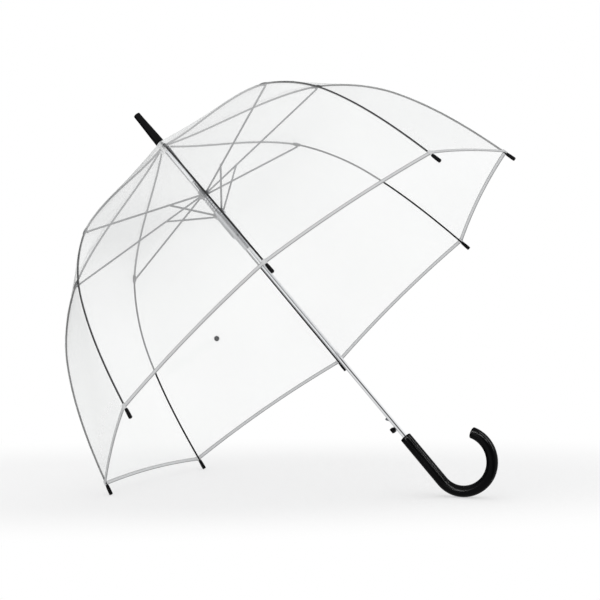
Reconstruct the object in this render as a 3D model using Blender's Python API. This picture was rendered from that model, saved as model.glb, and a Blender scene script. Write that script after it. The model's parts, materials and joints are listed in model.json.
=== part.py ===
"""Clear dome umbrella, automatic opening, with a crook handle.

The umbrella is modelled open and lying as it is put down: on two rib tips and
on the bottom of the crook.  Everything is built in an umbrella frame, whose
origin is the crown and whose +Z points up the shaft to the ferrule.  An empty
leans that frame so that the two lowest tips and the crook touch the ground
plane z = 0, with the handle towards +X.

Depths are distances below the crown, measured down the shaft.  A point of the
frame's side view is (radius, depth).
"""
import math

import bmesh
import bpy
import numpy as np
from mathutils import Matrix, Vector

# ---------------------------------------------------------------- dimensions
RIBS = 8
RIB_NAMES = "ABCDEFGH"
FIRST_RIB_DEG = 22.5            # rib A stands this far round from the ground side

SHAFT_R = 0.0042
SHAFT_WALL = 0.0007
SHAFT_TOP = -0.045              # end of the tube inside the ferrule
SHAFT_END = 0.700               # end of the tube inside the handle
GAP = 0.0003                    # running gap between touching pieces

FERRULE_TIP = -0.0745
FERRULE_BASE = -0.0063
FERRULE_R_TIP = 0.0061
FERRULE_R_BASE = 0.0079

CROWN_PIVOT = (0.008, 0.005)    # where each rib hinges in the top notch
JOINT_1 = (0.273, 0.097)        # rib joint that carries the stretcher
JOINT_2 = (0.367, 0.194)        # middle of the shoulder's bend
RIM = (0.445, 0.408)            # rib end, at the hem
CROWN_RISE = 0.0085             # how far the upper rib bows above its chord
SLOPE_1_DEG = 34.0              # slope of the rib at the three joints
SLOPE_2_DEG = 59.0
SLOPE_RIM_DEG = 76.5
RIB_R = 0.0014
TIP_R = 0.0033
TIP_LENGTH = 0.0185
TIP_FACETS = 12

CLIP_DROP = 0.004               # stretcher pivot, inside the rib's centre line
LINK_SIDE = 0.0031              # stretchers lie beside the rib's plane by this
HUB_PIVOT = (0.0076, 0.1183)
RUNNER_PIVOT = (0.0094, 0.1633)
STRUT_SHARE = 0.27              # strut pivot, as a share of the stretcher
LINK_W = 0.0024
LINK_T = 0.0024
LINK_WALL = 0.0006

CLOSED_RADIUS_1 = 0.033         # radius of the first rib joint when closed

RUNNER_BODY_END = 0.2186
RUNNER_SLEEVE_END = 0.2450
SPRING_R = 0.0057
SPRING_WIRE_R = 0.0005
SPRING_TURNS = 13

HANDLE_TOP = 0.675
HANDLE_BEND = 0.773             # depth where the straight grip meets the crook
HANDLE_R = 0.0098
CROOK_REACH = 0.0535            # the crook's first quarter bends a little wider
CROOK_R = 0.0500
CROOK_SWEEP_DEG = 210.0

CATCH_NOSE = (0.6290, 0.6385)   # depths of the nose that holds the runner
CATCH_PIVOT_DEPTH = 0.697
BUTTON_DEPTH = 0.6525
BUTTON_SIZE = 0.0088
BUTTON_LOW, BUTTON_HIGH = 0.0066, 0.0124
BUTTON_TRAVEL = 0.0020

FILM = 0.00025
FILM_STAND_OFF = 0.0024         # film's inner face, outside the rib's centre line
FILM_HOLE_R = 0.0049
FILM_STEPS = 4                  # facets across each gore
FILM_SAG = 0.006                # how far the hem is cut up between two ribs

STRAP_WIDTH = 0.016
STRAP_T = 0.0004


# ---------------------------------------------------------------- helpers
for stale in list(bpy.data.objects):
    bpy.data.objects.remove(stale, do_unlink=True)

COLLECTION = bpy.context.scene.collection
FRAME = bpy.data.objects.new("umbrella_frame", None)
COLLECTION.objects.link(FRAME)


def material(name, colour, roughness, metallic=0.0, alpha=1.0):
    made = bpy.data.materials.new(name)
    made.use_nodes = True
    shader = made.node_tree.nodes["Principled BSDF"]
    shader.inputs["Base Color"].default_value = (*colour, 1.0)
    shader.inputs["Roughness"].default_value = roughness
    shader.inputs["Metallic"].default_value = metallic
    shader.inputs["Alpha"].default_value = alpha
    return made


STEEL = material("chromed_steel", (0.78, 0.79, 0.80), 0.15, 1.0)
RIB_STEEL = material("blackened_rib_steel", (0.05, 0.05, 0.055), 0.35, 0.8)
LINK_STEEL = material("bright_link_steel", (0.42, 0.43, 0.44), 0.35, 0.9)
BLACK = material("black_moulding", (0.008, 0.008, 0.009), 0.25)
GREY = material("grey_moulding", (0.30, 0.31, 0.32), 0.40)
CLEAR = material("clear_moulding", (0.93, 0.94, 0.95), 0.15, 0.0, 0.6)
FILM_LOOK = material("clear_film", (0.95, 0.96, 0.97), 0.08, 0.0, 0.15)


def mesh_of(name, verts, faces, sharp=35.0):
    """A mesh with its faces turned outwards, shaded smooth between sharp edges."""
    bm = bmesh.new()
    made = [bm.verts.new(v) for v in verts]
    for face in faces:
        bm.faces.new([made[i] for i in face])
    bmesh.ops.remove_doubles(bm, verts=bm.verts, dist=1e-7)
    bmesh.ops.recalc_face_normals(bm, faces=bm.faces)
    mesh = bpy.data.meshes.new(name)
    bm.to_mesh(mesh)
    bm.free()
    mesh.shade_smooth()
    mesh.set_sharp_from_angle(angle=math.radians(sharp))
    return mesh


def node(name, mesh, look, at=(0.0, 0.0, 0.0), turn_deg=0.0, helper=False):
    """An object placed in the umbrella frame, with its origin at the point at."""
    obj = bpy.data.objects.new(name, mesh)
    COLLECTION.objects.link(obj)
    obj.parent = FRAME
    obj.location = at
    obj.rotation_euler = (0.0, 0.0, math.radians(turn_deg))
    if helper:
        obj.hide_render = True
        obj.display_type = "WIRE"
    elif not mesh.materials:
        mesh.materials.append(look)
    return obj


def lathe(name, profile, sides, closed=True, sharp=35.0, base=(0.0, 0.0)):
    """Turns (radius, depth) points round the shaft.  A closed profile is a ring
    with a bore, and an open one starts and ends on the axis."""
    verts, rings = [], []
    for radius, depth in profile:
        if radius <= 0:
            rings.append([len(verts)])
            verts.append((0, 0, -depth + base[1]))
            continue
        rings.append(list(range(len(verts), len(verts) + sides)))
        for k in range(sides):
            a = 2 * math.pi * k / sides
            verts.append((radius * math.cos(a), radius * math.sin(a), -depth + base[1]))
    faces = []
    count = len(rings)
    for i in range(count if closed else count - 1):
        one, two = rings[i], rings[(i + 1) % count]
        for k in range(sides):
            n = (k + 1) % sides
            if len(one) == 1 and len(two) == 1:
                continue
            if len(one) == 1:
                faces.append((one[0], two[k], two[n]))
            elif len(two) == 1:
                faces.append((one[k], two[0], one[n]))
            else:
                faces.append((one[k], two[k], two[n], one[n]))
    return mesh_of(name, verts, faces, sharp)


def sweep(name, path, section, cap=True, sharp=50.0, up=None):
    """Carries a section along a path.  section gives (across, out) points, where
    out lies in the plane of the path and across is square to it."""
    verts, faces = [], []
    count = len(path)
    for i, point in enumerate(path):
        before, after = path[max(i - 1, 0)], path[min(i + 1, count - 1)]
        along = (Vector(after) - Vector(before)).normalized()
        if up is None:
            across = Vector((0, 1, 0))
        else:
            across = along.cross(up(i)).normalized()
        out = across.cross(along).normalized()
        shape = section(i) if callable(section) else section
        for s, t in shape:
            verts.append(tuple(Vector(point) + across * s + out * t))
    per = len(verts) // count
    for i in range(count - 1):
        for k in range(per):
            n = (k + 1) % per
            a, b = i * per, (i + 1) * per
            faces.append((a + k, a + n, b + n, b + k))
    if cap:
        faces.append(tuple(range(per)))
        faces.append(tuple(range((count - 1) * per, count * per)))
    return mesh_of(name, verts, faces, sharp)


def circle(radius, sides, phase=0.5):
    return [
        (
            radius * math.cos(2 * math.pi * (k + phase) / sides),
            radius * math.sin(2 * math.pi * (k + phase) / sides),
        )
        for k in range(sides)
    ]


def channel(width, height, wall):
    """An open U section: a pressed channel that opens inwards."""
    w, h = width / 2, height / 2
    return [
        (-w, -h), (-w, h), (w, h), (w, -h),
        (w - wall, -h), (w - wall, h - wall), (-w + wall, h - wall), (-w + wall, -h),
    ]


def box(low, high):
    x0, y0, z0 = low
    x1, y1, z1 = high
    verts = [(x, y, z) for x in (x0, x1) for y in (y0, y1) for z in (z0, z1)]
    faces = [(0, 1, 3, 2), (4, 6, 7, 5), (0, 4, 5, 1), (2, 3, 7, 6), (0, 2, 6, 4), (1, 5, 7, 3)]
    return verts, faces


def joined(parts):
    verts, faces = [], []
    for v, f in parts:
        faces += [tuple(i + len(verts) for i in face) for face in f]
        verts += v
    return verts, faces


def cut(obj, cutter):
    step = obj.modifiers.new("cut_" + cutter.name, "BOOLEAN")
    step.operation = "DIFFERENCE"
    step.object = cutter
    step.solver = "EXACT"


def rib_angle(k):
    return FIRST_RIB_DEG + 360.0 * k / RIBS


def turned(point, degrees):
    return Matrix.Rotation(math.radians(degrees), 3, "Z") @ Vector(point)


# ---------------------------------------------------------------- rib outline
def unit(degrees):
    """Direction in the side view that falls away from level by this many degrees."""
    return np.array([math.cos(math.radians(degrees)), math.sin(math.radians(degrees))])


def hermite(p, q, slope_p, slope_q, t):
    p, q = np.array(p), np.array(q)
    reach = np.linalg.norm(q - p)
    u, v = unit(slope_p) * reach, unit(slope_q) * reach
    return (
        (2 * t**3 - 3 * t**2 + 1) * p
        + (t**3 - 2 * t**2 + t) * u
        + (-2 * t**3 + 3 * t**2) * q
        + (t**3 - t**2) * v
    )


def chord_deg(p, q):
    return math.degrees(math.atan2(q[1] - p[1], q[0] - p[0]))


def upper(t):
    """Upper rib, a shallow bow from the crown to the first joint."""
    p, q = np.array(CROWN_PIVOT), np.array(JOINT_1)
    along = (q - p) / np.linalg.norm(q - p)
    rise = np.array([along[1], -along[0]])
    bow = hermite(p, q, chord_deg(p, q) + 4.5, SLOPE_1_DEG - 6.0, t)
    return bow + 0.25 * CROWN_RISE * math.sin(math.pi * t) * rise


def shoulder(t):
    return hermite(JOINT_1, JOINT_2, SLOPE_1_DEG, SLOPE_2_DEG, t)


def skirt(t):
    return hermite(JOINT_2, RIM, SLOPE_2_DEG + 1.0, SLOPE_RIM_DEG, t)


def stations(curve, count, trim_start=0.0, trim_end=0.0):
    """Points along a rib curve, with a little left off at its ends."""
    fine = np.array([curve(t) for t in np.linspace(0, 1, 200)])
    run = np.r_[0, np.cumsum(np.linalg.norm(np.diff(fine, axis=0), axis=1))]
    want = np.linspace(trim_start, run[-1] - trim_end, count)
    return [(np.interp(w, run, fine[:, 0]), np.interp(w, run, fine[:, 1])) for w in want]


def as_path(points, origin):
    """Side-view points as (x, 0, z) points, measured from an origin."""
    return [(r - origin[0], 0.0, -(d - origin[1])) for r, d in points]


# ---------------------------------------------------------------- closing
def swing(point, pivot, degrees):
    """Turns a side-view point about a pivot, positive towards the handle."""
    a = math.radians(degrees)
    x, y = point[0] - pivot[0], point[1] - pivot[1]
    return (
        pivot[0] + x * math.cos(a) - y * math.sin(a),
        pivot[1] + x * math.sin(a) + y * math.cos(a),
    )


def length(p, q):
    return math.hypot(q[0] - p[0], q[1] - p[1])


def closed_state():
    """Where the frame stands when it is closed: the turn of every link and the
    travel of the hub and of the runner.  The closed radii of the rib joints are
    all the same share of their open radii, so that the folded film meets."""
    share = CLOSED_RADIUS_1 / JOINT_1[0]
    state = {"share": share}
    open_points = [CROWN_PIVOT, JOINT_1, JOINT_2, RIM]
    at = CROWN_PIVOT
    turns = []
    for p, q in zip(open_points, open_points[1:]):
        reach = length(p, q)
        dr = q[0] * share - at[0]
        slope = math.degrees(math.acos(dr / reach))
        turns.append(slope - chord_deg(p, q))
        at = (at[0] + dr, at[1] + math.sqrt(reach**2 - dr**2))
    state["ribs"] = turns                       # turns of each part, from open
    state["rim_closed"] = at
    clip = stretcher_end()
    clip_closed = swing(clip, CROWN_PIVOT, turns[0])
    reach = length(HUB_PIVOT, clip)
    dr = clip_closed[0] - HUB_PIVOT[0]
    hub_depth = clip_closed[1] + math.sqrt(reach**2 - dr**2)
    state["hub_travel"] = hub_depth - HUB_PIVOT[1]
    state["stretcher_turn"] = -math.degrees(math.acos(dr / reach)) - chord_deg(HUB_PIVOT, clip)
    knee = strut_end()
    reach_strut = length(RUNNER_PIVOT, knee)
    a = math.radians(chord_deg(HUB_PIVOT, clip) + state["stretcher_turn"])
    reach_knee = length(HUB_PIVOT, knee)
    knee_closed = (HUB_PIVOT[0] + reach_knee * math.cos(a), hub_depth + reach_knee * math.sin(a))
    dr = knee_closed[0] - RUNNER_PIVOT[0]
    runner_depth = knee_closed[1] + math.sqrt(reach_strut**2 - dr**2)
    state["runner_travel"] = runner_depth - RUNNER_PIVOT[1]
    state["strut_turn"] = -math.degrees(math.acos(dr / reach_strut)) - chord_deg(RUNNER_PIVOT, knee)
    return state


def stretcher_end():
    inward = unit(SLOPE_1_DEG + 90.0)
    return (JOINT_1[0] + inward[0] * CLIP_DROP, JOINT_1[1] + inward[1] * CLIP_DROP)


def strut_end():
    clip = stretcher_end()
    return (
        HUB_PIVOT[0] + (clip[0] - HUB_PIVOT[0]) * STRUT_SHARE,
        HUB_PIVOT[1] + (clip[1] - HUB_PIVOT[1]) * STRUT_SHARE,
    )


CLOSED = closed_state()
PIVOTS = {}                      # body name -> (pivot in the umbrella frame, rib angle)

# ---------------------------------------------------------------- shaft group
tube = node(
    "shaft_tube",
    lathe(
        "shaft_tube",
        [
            (SHAFT_R, SHAFT_TOP), (SHAFT_R, SHAFT_END),
            (SHAFT_R - SHAFT_WALL, SHAFT_END), (SHAFT_R - SHAFT_WALL, SHAFT_TOP),
        ],
        24,
    ),
    STEEL,
)
slot_low = CATCH_NOSE[0] - 0.0020
slot_high = BUTTON_DEPTH + 0.0080
slot = node(
    "slot_cutter",
    mesh_of("slot_cutter", *box((0.0015, -0.0017, -slot_high), (0.0070, 0.0017, -slot_low))),
    STEEL, helper=True,
)
cut(tube, slot)

bore = SHAFT_R + GAP
node(
    "ferrule",
    lathe(
        "ferrule",
        [
            (0.0, FERRULE_TIP), (FERRULE_R_TIP - 0.0010, FERRULE_TIP),
            (FERRULE_R_TIP, FERRULE_TIP + 0.0010), (FERRULE_R_BASE, FERRULE_BASE - 0.0006),
            (FERRULE_R_BASE - 0.0006, FERRULE_BASE), (bore, FERRULE_BASE),
            (bore, SHAFT_TOP - 0.0010), (0.0, SHAFT_TOP - 0.0010),
        ],
        24, closed=False,
    ),
    BLACK,
)
node(
    "crown_cap",
    lathe(
        "crown_cap",
        [
            (bore, FERRULE_BASE + GAP), (0.0068, FERRULE_BASE + GAP), (0.0082, -0.0025),
            (0.0088, 0.0014), (0.0084, 0.0022), (bore, 0.0006),
        ],
        24,
    ),
    CLEAR,
)
notch = node(
    "top_notch",
    lathe("top_notch", [(bore, 0.0025), (0.0106, 0.0051), (0.0106, 0.0108), (0.0080, 0.0135), (bore, 0.0135)], 24),
    BLACK,
)
# Each rib's slot, open at the top and the outside, as deep as the rib's swing needs.
parts = []
for k in range(RIBS):
    verts, faces = box((0.0061, -0.0018, -0.0160), (0.0140, 0.0018, 0.0))
    parts.append(([tuple(turned(v, rib_angle(k))) for v in verts], faces))
cut(notch, node("notch_cutter", mesh_of("notch_cutter", *joined(parts)), BLACK, helper=True))

# The handle's straight grip runs into the crook, which bends away from the
# ground side.  Its top holds the shaft in a blind bore.


def crook_point(a):
    """The crook's centre line: a quarter of an ellipse and then a circle."""
    wide = CROOK_REACH if math.cos(a) > 0 else CROOK_R
    return (-CROOK_REACH + wide * math.cos(a), 0.0, -HANDLE_BEND - CROOK_R * math.sin(a))


path = []
for depth in (HANDLE_TOP + 0.0012, HANDLE_TOP + 0.020, HANDLE_TOP + 0.060, HANDLE_BEND):
    path.append((0.0, 0.0, -depth))
bends = 22
for k in range(1, bends + 1):
    a = math.radians(CROOK_SWEEP_DEG) * k / bends
    path.append(crook_point(a))
sides = 16
verts, faces, rings = [], [], []


def ring_at(point, along, radius):
    across = Vector((0, 1, 0))
    out = across.cross(along).normalized()
    first = len(verts)
    for k in range(sides):
        a = 2 * math.pi * (k + 0.5) / sides
        verts.append(tuple(Vector(point) + across * radius * math.cos(a) + out * radius * math.sin(a)))
    rings.append(list(range(first, first + sides)))


down = Vector((0, 0, -1))
ring_at((0, 0, -SHAFT_END - 0.0010), down, bore)
ring_at((0, 0, -HANDLE_TOP), down, bore)
ring_at((0, 0, -HANDLE_TOP), down, HANDLE_R - 0.0012)
for i, point in enumerate(path):
    if i <= 3:
        along = down
    else:
        a = math.radians(CROOK_SWEEP_DEG) * (i - 3) / bends
        wide = CROOK_REACH if math.cos(a) > 0 else CROOK_R
        along = Vector((-wide * math.sin(a), 0, -CROOK_R * math.cos(a))).normalized()
    ring_at(point, along, HANDLE_R)
end_along = along
ring_at(Vector(path[-1]) + end_along * 0.0012, end_along, HANDLE_R - 0.0012)
for one, two in zip(rings, rings[1:]):
    for k in range(sides):
        n = (k + 1) % sides
        faces.append((one[k], one[n], two[n], two[k]))
faces.append(tuple(rings[0]))
faces.append(tuple(rings[-1]))
handle_mesh = mesh_of("handle", verts, faces, 40.0)
node("handle", handle_mesh, BLACK)

# ---------------------------------------------------------------- hub and runner
hub_top, hub_low = HUB_PIVOT[1] - 0.0095, HUB_PIVOT[1] + 0.0072
hub = node(
    "upper_hub",
    lathe(
        "upper_hub",
        [
            (bore, hub_top - HUB_PIVOT[1]), (0.0055, hub_top - HUB_PIVOT[1]),
            (0.0058, -0.0040), (0.0084, -0.0036), (0.0084, 0.0036), (0.0062, 0.0040),
            (0.0062, hub_low - HUB_PIVOT[1]), (bore, hub_low - HUB_PIVOT[1]),
        ],
        24,
    ),
    GREY, at=(0, 0, -HUB_PIVOT[1]),
)
parts = []
for k in range(RIBS):
    verts, faces = box(
        (0.0059, LINK_SIDE - 0.0016, -0.0039), (0.0150, LINK_SIDE + 0.0016, 0.0100)
    )
    parts.append(([tuple(turned(v, rib_angle(k))) for v in verts], faces))
cut(hub, node("hub_cutter", mesh_of("hub_cutter", *joined(parts)), GREY, at=(0, 0, -HUB_PIVOT[1]), helper=True))
PIVOTS["hub"] = ((0, 0, -HUB_PIVOT[1]), 0.0)

base = RUNNER_PIVOT[1]
seat = RUNNER_BODY_END - 0.0070          # where the spring stands inside the runner
runner = node(
    "runner",
    lathe(
        "runner",
        [
            (0.0068, -0.0054), (0.0086, -0.0054), (0.0108, -0.0044), (0.0108, 0.0046),
            (0.0088, 0.0062), (0.0088, RUNNER_BODY_END - base - 0.0040),
            (0.0066, RUNNER_BODY_END - base), (0.0062, RUNNER_SLEEVE_END - base),
            (bore, RUNNER_SLEEVE_END - base), (bore, seat - base), (0.0068, seat - base),
        ],
        24,
    ),
    GREY, at=(0, 0, -base),
)
parts = []
for k in range(RIBS):
    verts, faces = box((0.0075, -0.0016, -0.0050), (0.0150, 0.0016, 0.0100))
    parts.append(([tuple(turned(v, rib_angle(k))) for v in verts], faces))
window = CATCH_NOSE[0] - CLOSED["runner_travel"] - base
verts, faces = box(
    (0.0020, -0.0019, -(window + CATCH_NOSE[1] - CATCH_NOSE[0] + 0.0012)), (0.0090, 0.0019, -(window - 0.0012))
)
parts.append((verts, faces))
cut(runner, node("runner_cutter", mesh_of("runner_cutter", *joined(parts)), GREY, at=(0, 0, -base), helper=True))
PIVOTS["runner"] = ((0, 0, -base), 0.0)

# The opening spring stands in the runner and pushes the hub away from it.
spring_low, spring_high = seat - 0.0005 - SPRING_WIRE_R, hub_low + 0.0005 + SPRING_WIRE_R
steps = SPRING_TURNS * 10
path = []
for k in range(steps + 1):
    t = k / steps
    a = 2 * math.pi * SPRING_TURNS * t
    eased = t + 0.022 * math.sin(2 * math.pi * t) * -1.0
    depth = spring_low + (spring_high - spring_low) * eased
    path.append((SPRING_R * math.cos(a), SPRING_R * math.sin(a), -(depth - seat)))
node(
    "opening_spring",
    sweep(
        "opening_spring", path, circle(SPRING_WIRE_R, 5), sharp=80.0,
        up=lambda i: Vector((path[i][0], path[i][1], 0)).normalized(),
    ),
    STEEL, at=(0, 0, -seat),
)

# ---------------------------------------------------------------- ribs and links
upper_mesh = sweep("rib_upper", as_path(stations(upper, 8, 0.0, 0.0010), CROWN_PIVOT), circle(RIB_R, 8))
middle_mesh = sweep("rib_middle", as_path(stations(shoulder, 8, 0.0010, 0.0010), JOINT_1), circle(RIB_R, 8))
lower_mesh = sweep("rib_lower", as_path(stations(skirt, 9, 0.0010, 0.0), JOINT_2), circle(RIB_R, 8))

tip_profile = [
    (0.0, 0.0), (0.0024, 0.0), (0.0027, 0.0020), (TIP_R - 0.0003, 0.0100),
    (TIP_R, TIP_LENGTH - 0.0030), (TIP_R - 0.0003, TIP_LENGTH - 0.0010),
    (TIP_R - 0.0013, TIP_LENGTH), (0.0, TIP_LENGTH),
]
tip_mesh = lathe("rib_tip", tip_profile, TIP_FACETS, closed=False)
lean_tip = Matrix.Rotation(-math.radians(90.0 - SLOPE_RIM_DEG), 4, "Y")
tip_mesh.transform(lean_tip)
tip_start = np.array(RIM) + unit(SLOPE_RIM_DEG) * 0.0004

clip = stretcher_end()
stretch = length(HUB_PIVOT, clip)
along = chord_deg(HUB_PIVOT, clip)
blade = channel(LINK_W, LINK_T, LINK_WALL)


def link_mesh(name, p, q, over):
    """A straight link from p to q, with over left beyond each pivot."""
    reach = length(p, q)
    u = unit(chord_deg(p, q))
    points = [tuple(np.array(p) + u * s) for s in (-over, reach + over)]
    return sweep(name, as_path(points, p), blade)


stretcher_mesh = link_mesh("stretcher", HUB_PIVOT, clip, 0.0012)
strut_mesh = link_mesh("strut", RUNNER_PIVOT, strut_end(), 0.0012)

for k in range(RIBS):
    letter, angle = RIB_NAMES[k].lower(), rib_angle(k)

    def at(point, side=0.0):
        return tuple(turned((point[0], side, -point[1]), angle))

    node(f"rib_upper_{letter}", upper_mesh, RIB_STEEL, at(CROWN_PIVOT), angle)
    node(f"rib_middle_{letter}", middle_mesh, RIB_STEEL, at(JOINT_1), angle)
    node(f"rib_lower_{letter}", lower_mesh, RIB_STEEL, at(JOINT_2), angle)
    node(f"rib_tip_{letter}", tip_mesh, BLACK, at(tip_start), angle)
    node(f"stretcher_{letter}", stretcher_mesh, LINK_STEEL, at(HUB_PIVOT, LINK_SIDE), angle)
    node(f"strut_{letter}", strut_mesh, LINK_STEEL, at(RUNNER_PIVOT), angle)
    PIVOTS[f"upper_{letter}"] = (at(CROWN_PIVOT), angle)
    PIVOTS[f"middle_{letter}"] = (at(JOINT_1), angle)
    PIVOTS[f"lower_{letter}"] = (at(JOINT_2), angle)
    PIVOTS[f"stretcher_{letter}"] = (at(HUB_PIVOT, LINK_SIDE), angle)
    PIVOTS[f"strut_{letter}"] = (at(RUNNER_PIVOT), angle)


# ---------------------------------------------------------------- canopy
def outline(count_upper=7, count_shoulder=6, count_skirt=7):
    """Side-view points of the rib from the crown to the rim, with their normals."""
    points = stations(upper, count_upper) + stations(shoulder, count_shoulder)[1:]
    points += stations(skirt, count_skirt)[1:]
    points = [np.array(p) for p in points]
    out = []
    for i, p in enumerate(points):
        a, b = points[max(i - 1, 0)], points[min(i + 1, len(points) - 1)]
        t = (b - a) / np.linalg.norm(b - a)
        out.append((p, np.array([t[1], -t[0]])))
    return out


def film_rows():
    """(inner, outer) points of the film over a rib, from the crown hole to the hem."""
    rows = []
    for p, normal in outline():
        rows.append((p + normal * FILM_STAND_OFF, p + normal * (FILM_STAND_OFF + FILM)))
    first = rows[0]
    slope = (rows[1][0] - rows[0][0]) / np.linalg.norm(rows[1][0] - rows[0][0])
    back = (first[0][0] - FILM_HOLE_R) / slope[0]
    rows[0] = (first[0] - slope * back, first[1] - slope * back)
    return rows


ROWS = film_rows()
HEM_DIRECTION = (ROWS[-1][0] - ROWS[-2][0]) / np.linalg.norm(ROWS[-1][0] - ROWS[-2][0])


def film_point(row, side, step):
    """A point of the film.  side is 0 inside and 1 outside.  step counts facets
    round the whole canopy, and the gores are straight across between two ribs,
    with the hem cut in a shallow curve."""
    rib, part = divmod(step, FILM_STEPS)
    share = part / FILM_STEPS
    radius, depth = ROWS[row][side]
    lift = 4 * share * (1 - share) * FILM_SAG * max(0.0, (row - 12) / (len(ROWS) - 13)) ** 2
    radius, depth = (radius - HEM_DIRECTION[0] * lift, depth - HEM_DIRECTION[1] * lift)
    a, b = math.radians(rib_angle(rib)), math.radians(rib_angle(rib + 1))
    x = radius * ((1 - share) * math.cos(a) + share * math.cos(b))
    y = radius * ((1 - share) * math.sin(a) + share * math.sin(b))
    return (x, y, -depth)


verts, faces = [], []
around = RIBS * FILM_STEPS
index = {}
for side in (0, 1):
    for row in range(len(ROWS)):
        for step in range(around):
            index[side, row, step] = len(verts)
            verts.append(film_point(row, side, step))
last = len(ROWS) - 1
for step in range(around):
    nxt = (step + 1) % around
    for side in (0, 1):
        for row in range(last):
            faces.append((
                index[side, row, step], index[side, row + 1, step],
                index[side, row + 1, nxt], index[side, row, nxt],
            ))
    for row in (0, last):
        faces.append((index[0, row, step], index[1, row, step], index[1, row, nxt], index[0, row, nxt]))
node("canopy", mesh_of("canopy", verts, faces, 30.0), FILM_LOOK)

# The tie strap lies flat on the outside of one gore, from the seam over rib H to
# its snap near the middle of the gore.
STRAP_GORE = 6                      # the gore between rib G and rib H
STRAP_SHARE = (0.93, 0.534)         # its seam end and its snap, across the gore
STRAP_ROW = 12
a0, a1 = rib_angle(STRAP_GORE), rib_angle(STRAP_GORE + 1)


def gore_point(row_t, share, lift):
    i = int(row_t)
    f = row_t - i
    radius, depth = ROWS[i][1] * (1 - f) + ROWS[min(i + 1, last)][1] * f
    a, b = math.radians(a0), math.radians(a1)
    x = radius * ((1 - share) * math.cos(a) + share * math.cos(b))
    y = radius * ((1 - share) * math.sin(a) + share * math.sin(b))
    return Vector((x, y, -depth)) + NORMAL * lift


NORMAL = Vector((0, 0, 0))
p0, p1, p2 = gore_point(STRAP_ROW, 0.2, 0), gore_point(STRAP_ROW, 0.8, 0), gore_point(STRAP_ROW + 1, 0.2, 0)
NORMAL = (p1 - p0).cross(p2 - p0).normalized()
middle_of_gore = Vector((math.cos(math.radians((a0 + a1) / 2)), math.sin(math.radians((a0 + a1) / 2)), 0))
if NORMAL.dot(middle_of_gore) < 0:
    NORMAL = -NORMAL
across = (p0 - p1).normalized()
down_gore = across.cross(NORMAL)
if down_gore.z > 0:
    down_gore = -down_gore
start = gore_point(STRAP_ROW + 0.3, STRAP_SHARE[0], 0) + NORMAL * (GAP + 0.0002)
SNAP_AT = gore_point(STRAP_ROW + 0.3, STRAP_SHARE[1], 0)
STRAP_LENGTH = (SNAP_AT - gore_point(STRAP_ROW + 0.3, STRAP_SHARE[0], 0)).length + STRAP_WIDTH / 2
shape = []
for s, t in ((0, -1), (0, 1)):
    shape.append((s, t * STRAP_WIDTH / 2))
for k in range(7):
    a = math.pi / 2 - math.pi * k / 6
    shape.append((STRAP_LENGTH - STRAP_WIDTH / 2 + math.cos(a) * STRAP_WIDTH / 2, math.sin(a) * STRAP_WIDTH / 2))
verts = []
for lift in (0.0, STRAP_T):
    for s, t in shape:
        verts.append(tuple(across * s + down_gore * t + NORMAL * lift))
n = len(shape)
faces = [tuple(range(n)), tuple(range(n, 2 * n))]
for k in range(n):
    m = (k + 1) % n
    faces.append((k, m, n + m, n + k))
node("tie_strap", mesh_of("tie_strap", verts, faces), CLEAR, at=tuple(start))

# ---------------------------------------------------------------- release
# The catch is one bent strip inside the tube.  It pivots at its lower end, and
# its nose stands out through the tube's slot.  The button pushes it inwards.
leaf_in, leaf_out, half = 0.0012, 0.0024, 0.0011
pz = CATCH_PIVOT_DEPTH
outline_2d = [
    (leaf_in, pz), (leaf_in, CATCH_NOSE[0]), (0.0060, CATCH_NOSE[0]),
    (0.0074, CATCH_NOSE[0] + 0.0008), (0.0074, CATCH_NOSE[0] + 0.0030),
    (leaf_out + 0.0004, CATCH_NOSE[1]), (leaf_out, CATCH_NOSE[1] + 0.0010), (leaf_out, pz),
]
verts = [(x - 0.0018, y, -(d - pz)) for y in (-half, half) for x, d in outline_2d]
n = len(outline_2d)
faces = [tuple(range(n)), tuple(range(n, 2 * n))]
for k in range(n):
    m = (k + 1) % n
    faces.append((k, m, n + m, n + k))
node("runner_catch", mesh_of("runner_catch", verts, faces), STEEL, at=(0.0018, 0, -pz))
PIVOTS["catch"] = ((0.0018, 0, -pz), 0.0)

s = BUTTON_SIZE / 2
c = 0.0010
low, high = BUTTON_LOW, BUTTON_HIGH
stem_low, stem_w, stem_h = leaf_out + GAP + 0.0001, 0.0011, 0.0022
rings = [
    (stem_low, stem_w, stem_h), (low, stem_w, stem_h), (low, s - 0.0006, s - 0.0006),
    (low + 0.0008, s, s), (high - c, s, s), (high, s - c, s - c),
]
verts, faces = [], []
for x, w, h in rings:
    verts += [(x - BUTTON_LOW, -w, -h), (x - BUTTON_LOW, w, -h), (x - BUTTON_LOW, w, h), (x - BUTTON_LOW, -w, h)]
for i in range(len(rings) - 1):
    for k in range(4):
        m = (k + 1) % 4
        faces.append((4 * i + k, 4 * i + m, 4 * i + 4 + m, 4 * i + 4 + k))
faces.append((0, 1, 2, 3))
faces.append(tuple(range(len(verts) - 4, len(verts))))
node("release_button", mesh_of("release_button", verts, faces), BLACK, at=(BUTTON_LOW, 0, -BUTTON_DEPTH))
PIVOTS["button"] = ((BUTTON_LOW, 0, -BUTTON_DEPTH), 0.0)


# ---------------------------------------------------------------- lying pose
def lean_matrix(lean):
    """Umbrella frame in the world: the shaft falls away by lean below level."""
    c, s = math.cos(lean), math.sin(lean)
    to_ground = Vector((-s, 0, -c))
    to_side = Vector((0, -1, 0))
    to_ferrule = Vector((-c, 0, s))
    return Matrix((to_ground, to_side, to_ferrule)).transposed()


def lowest(points, lean):
    m = np.array(lean_matrix(lean))
    return float((np.array(points) @ m.T)[:, 2].min())


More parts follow.
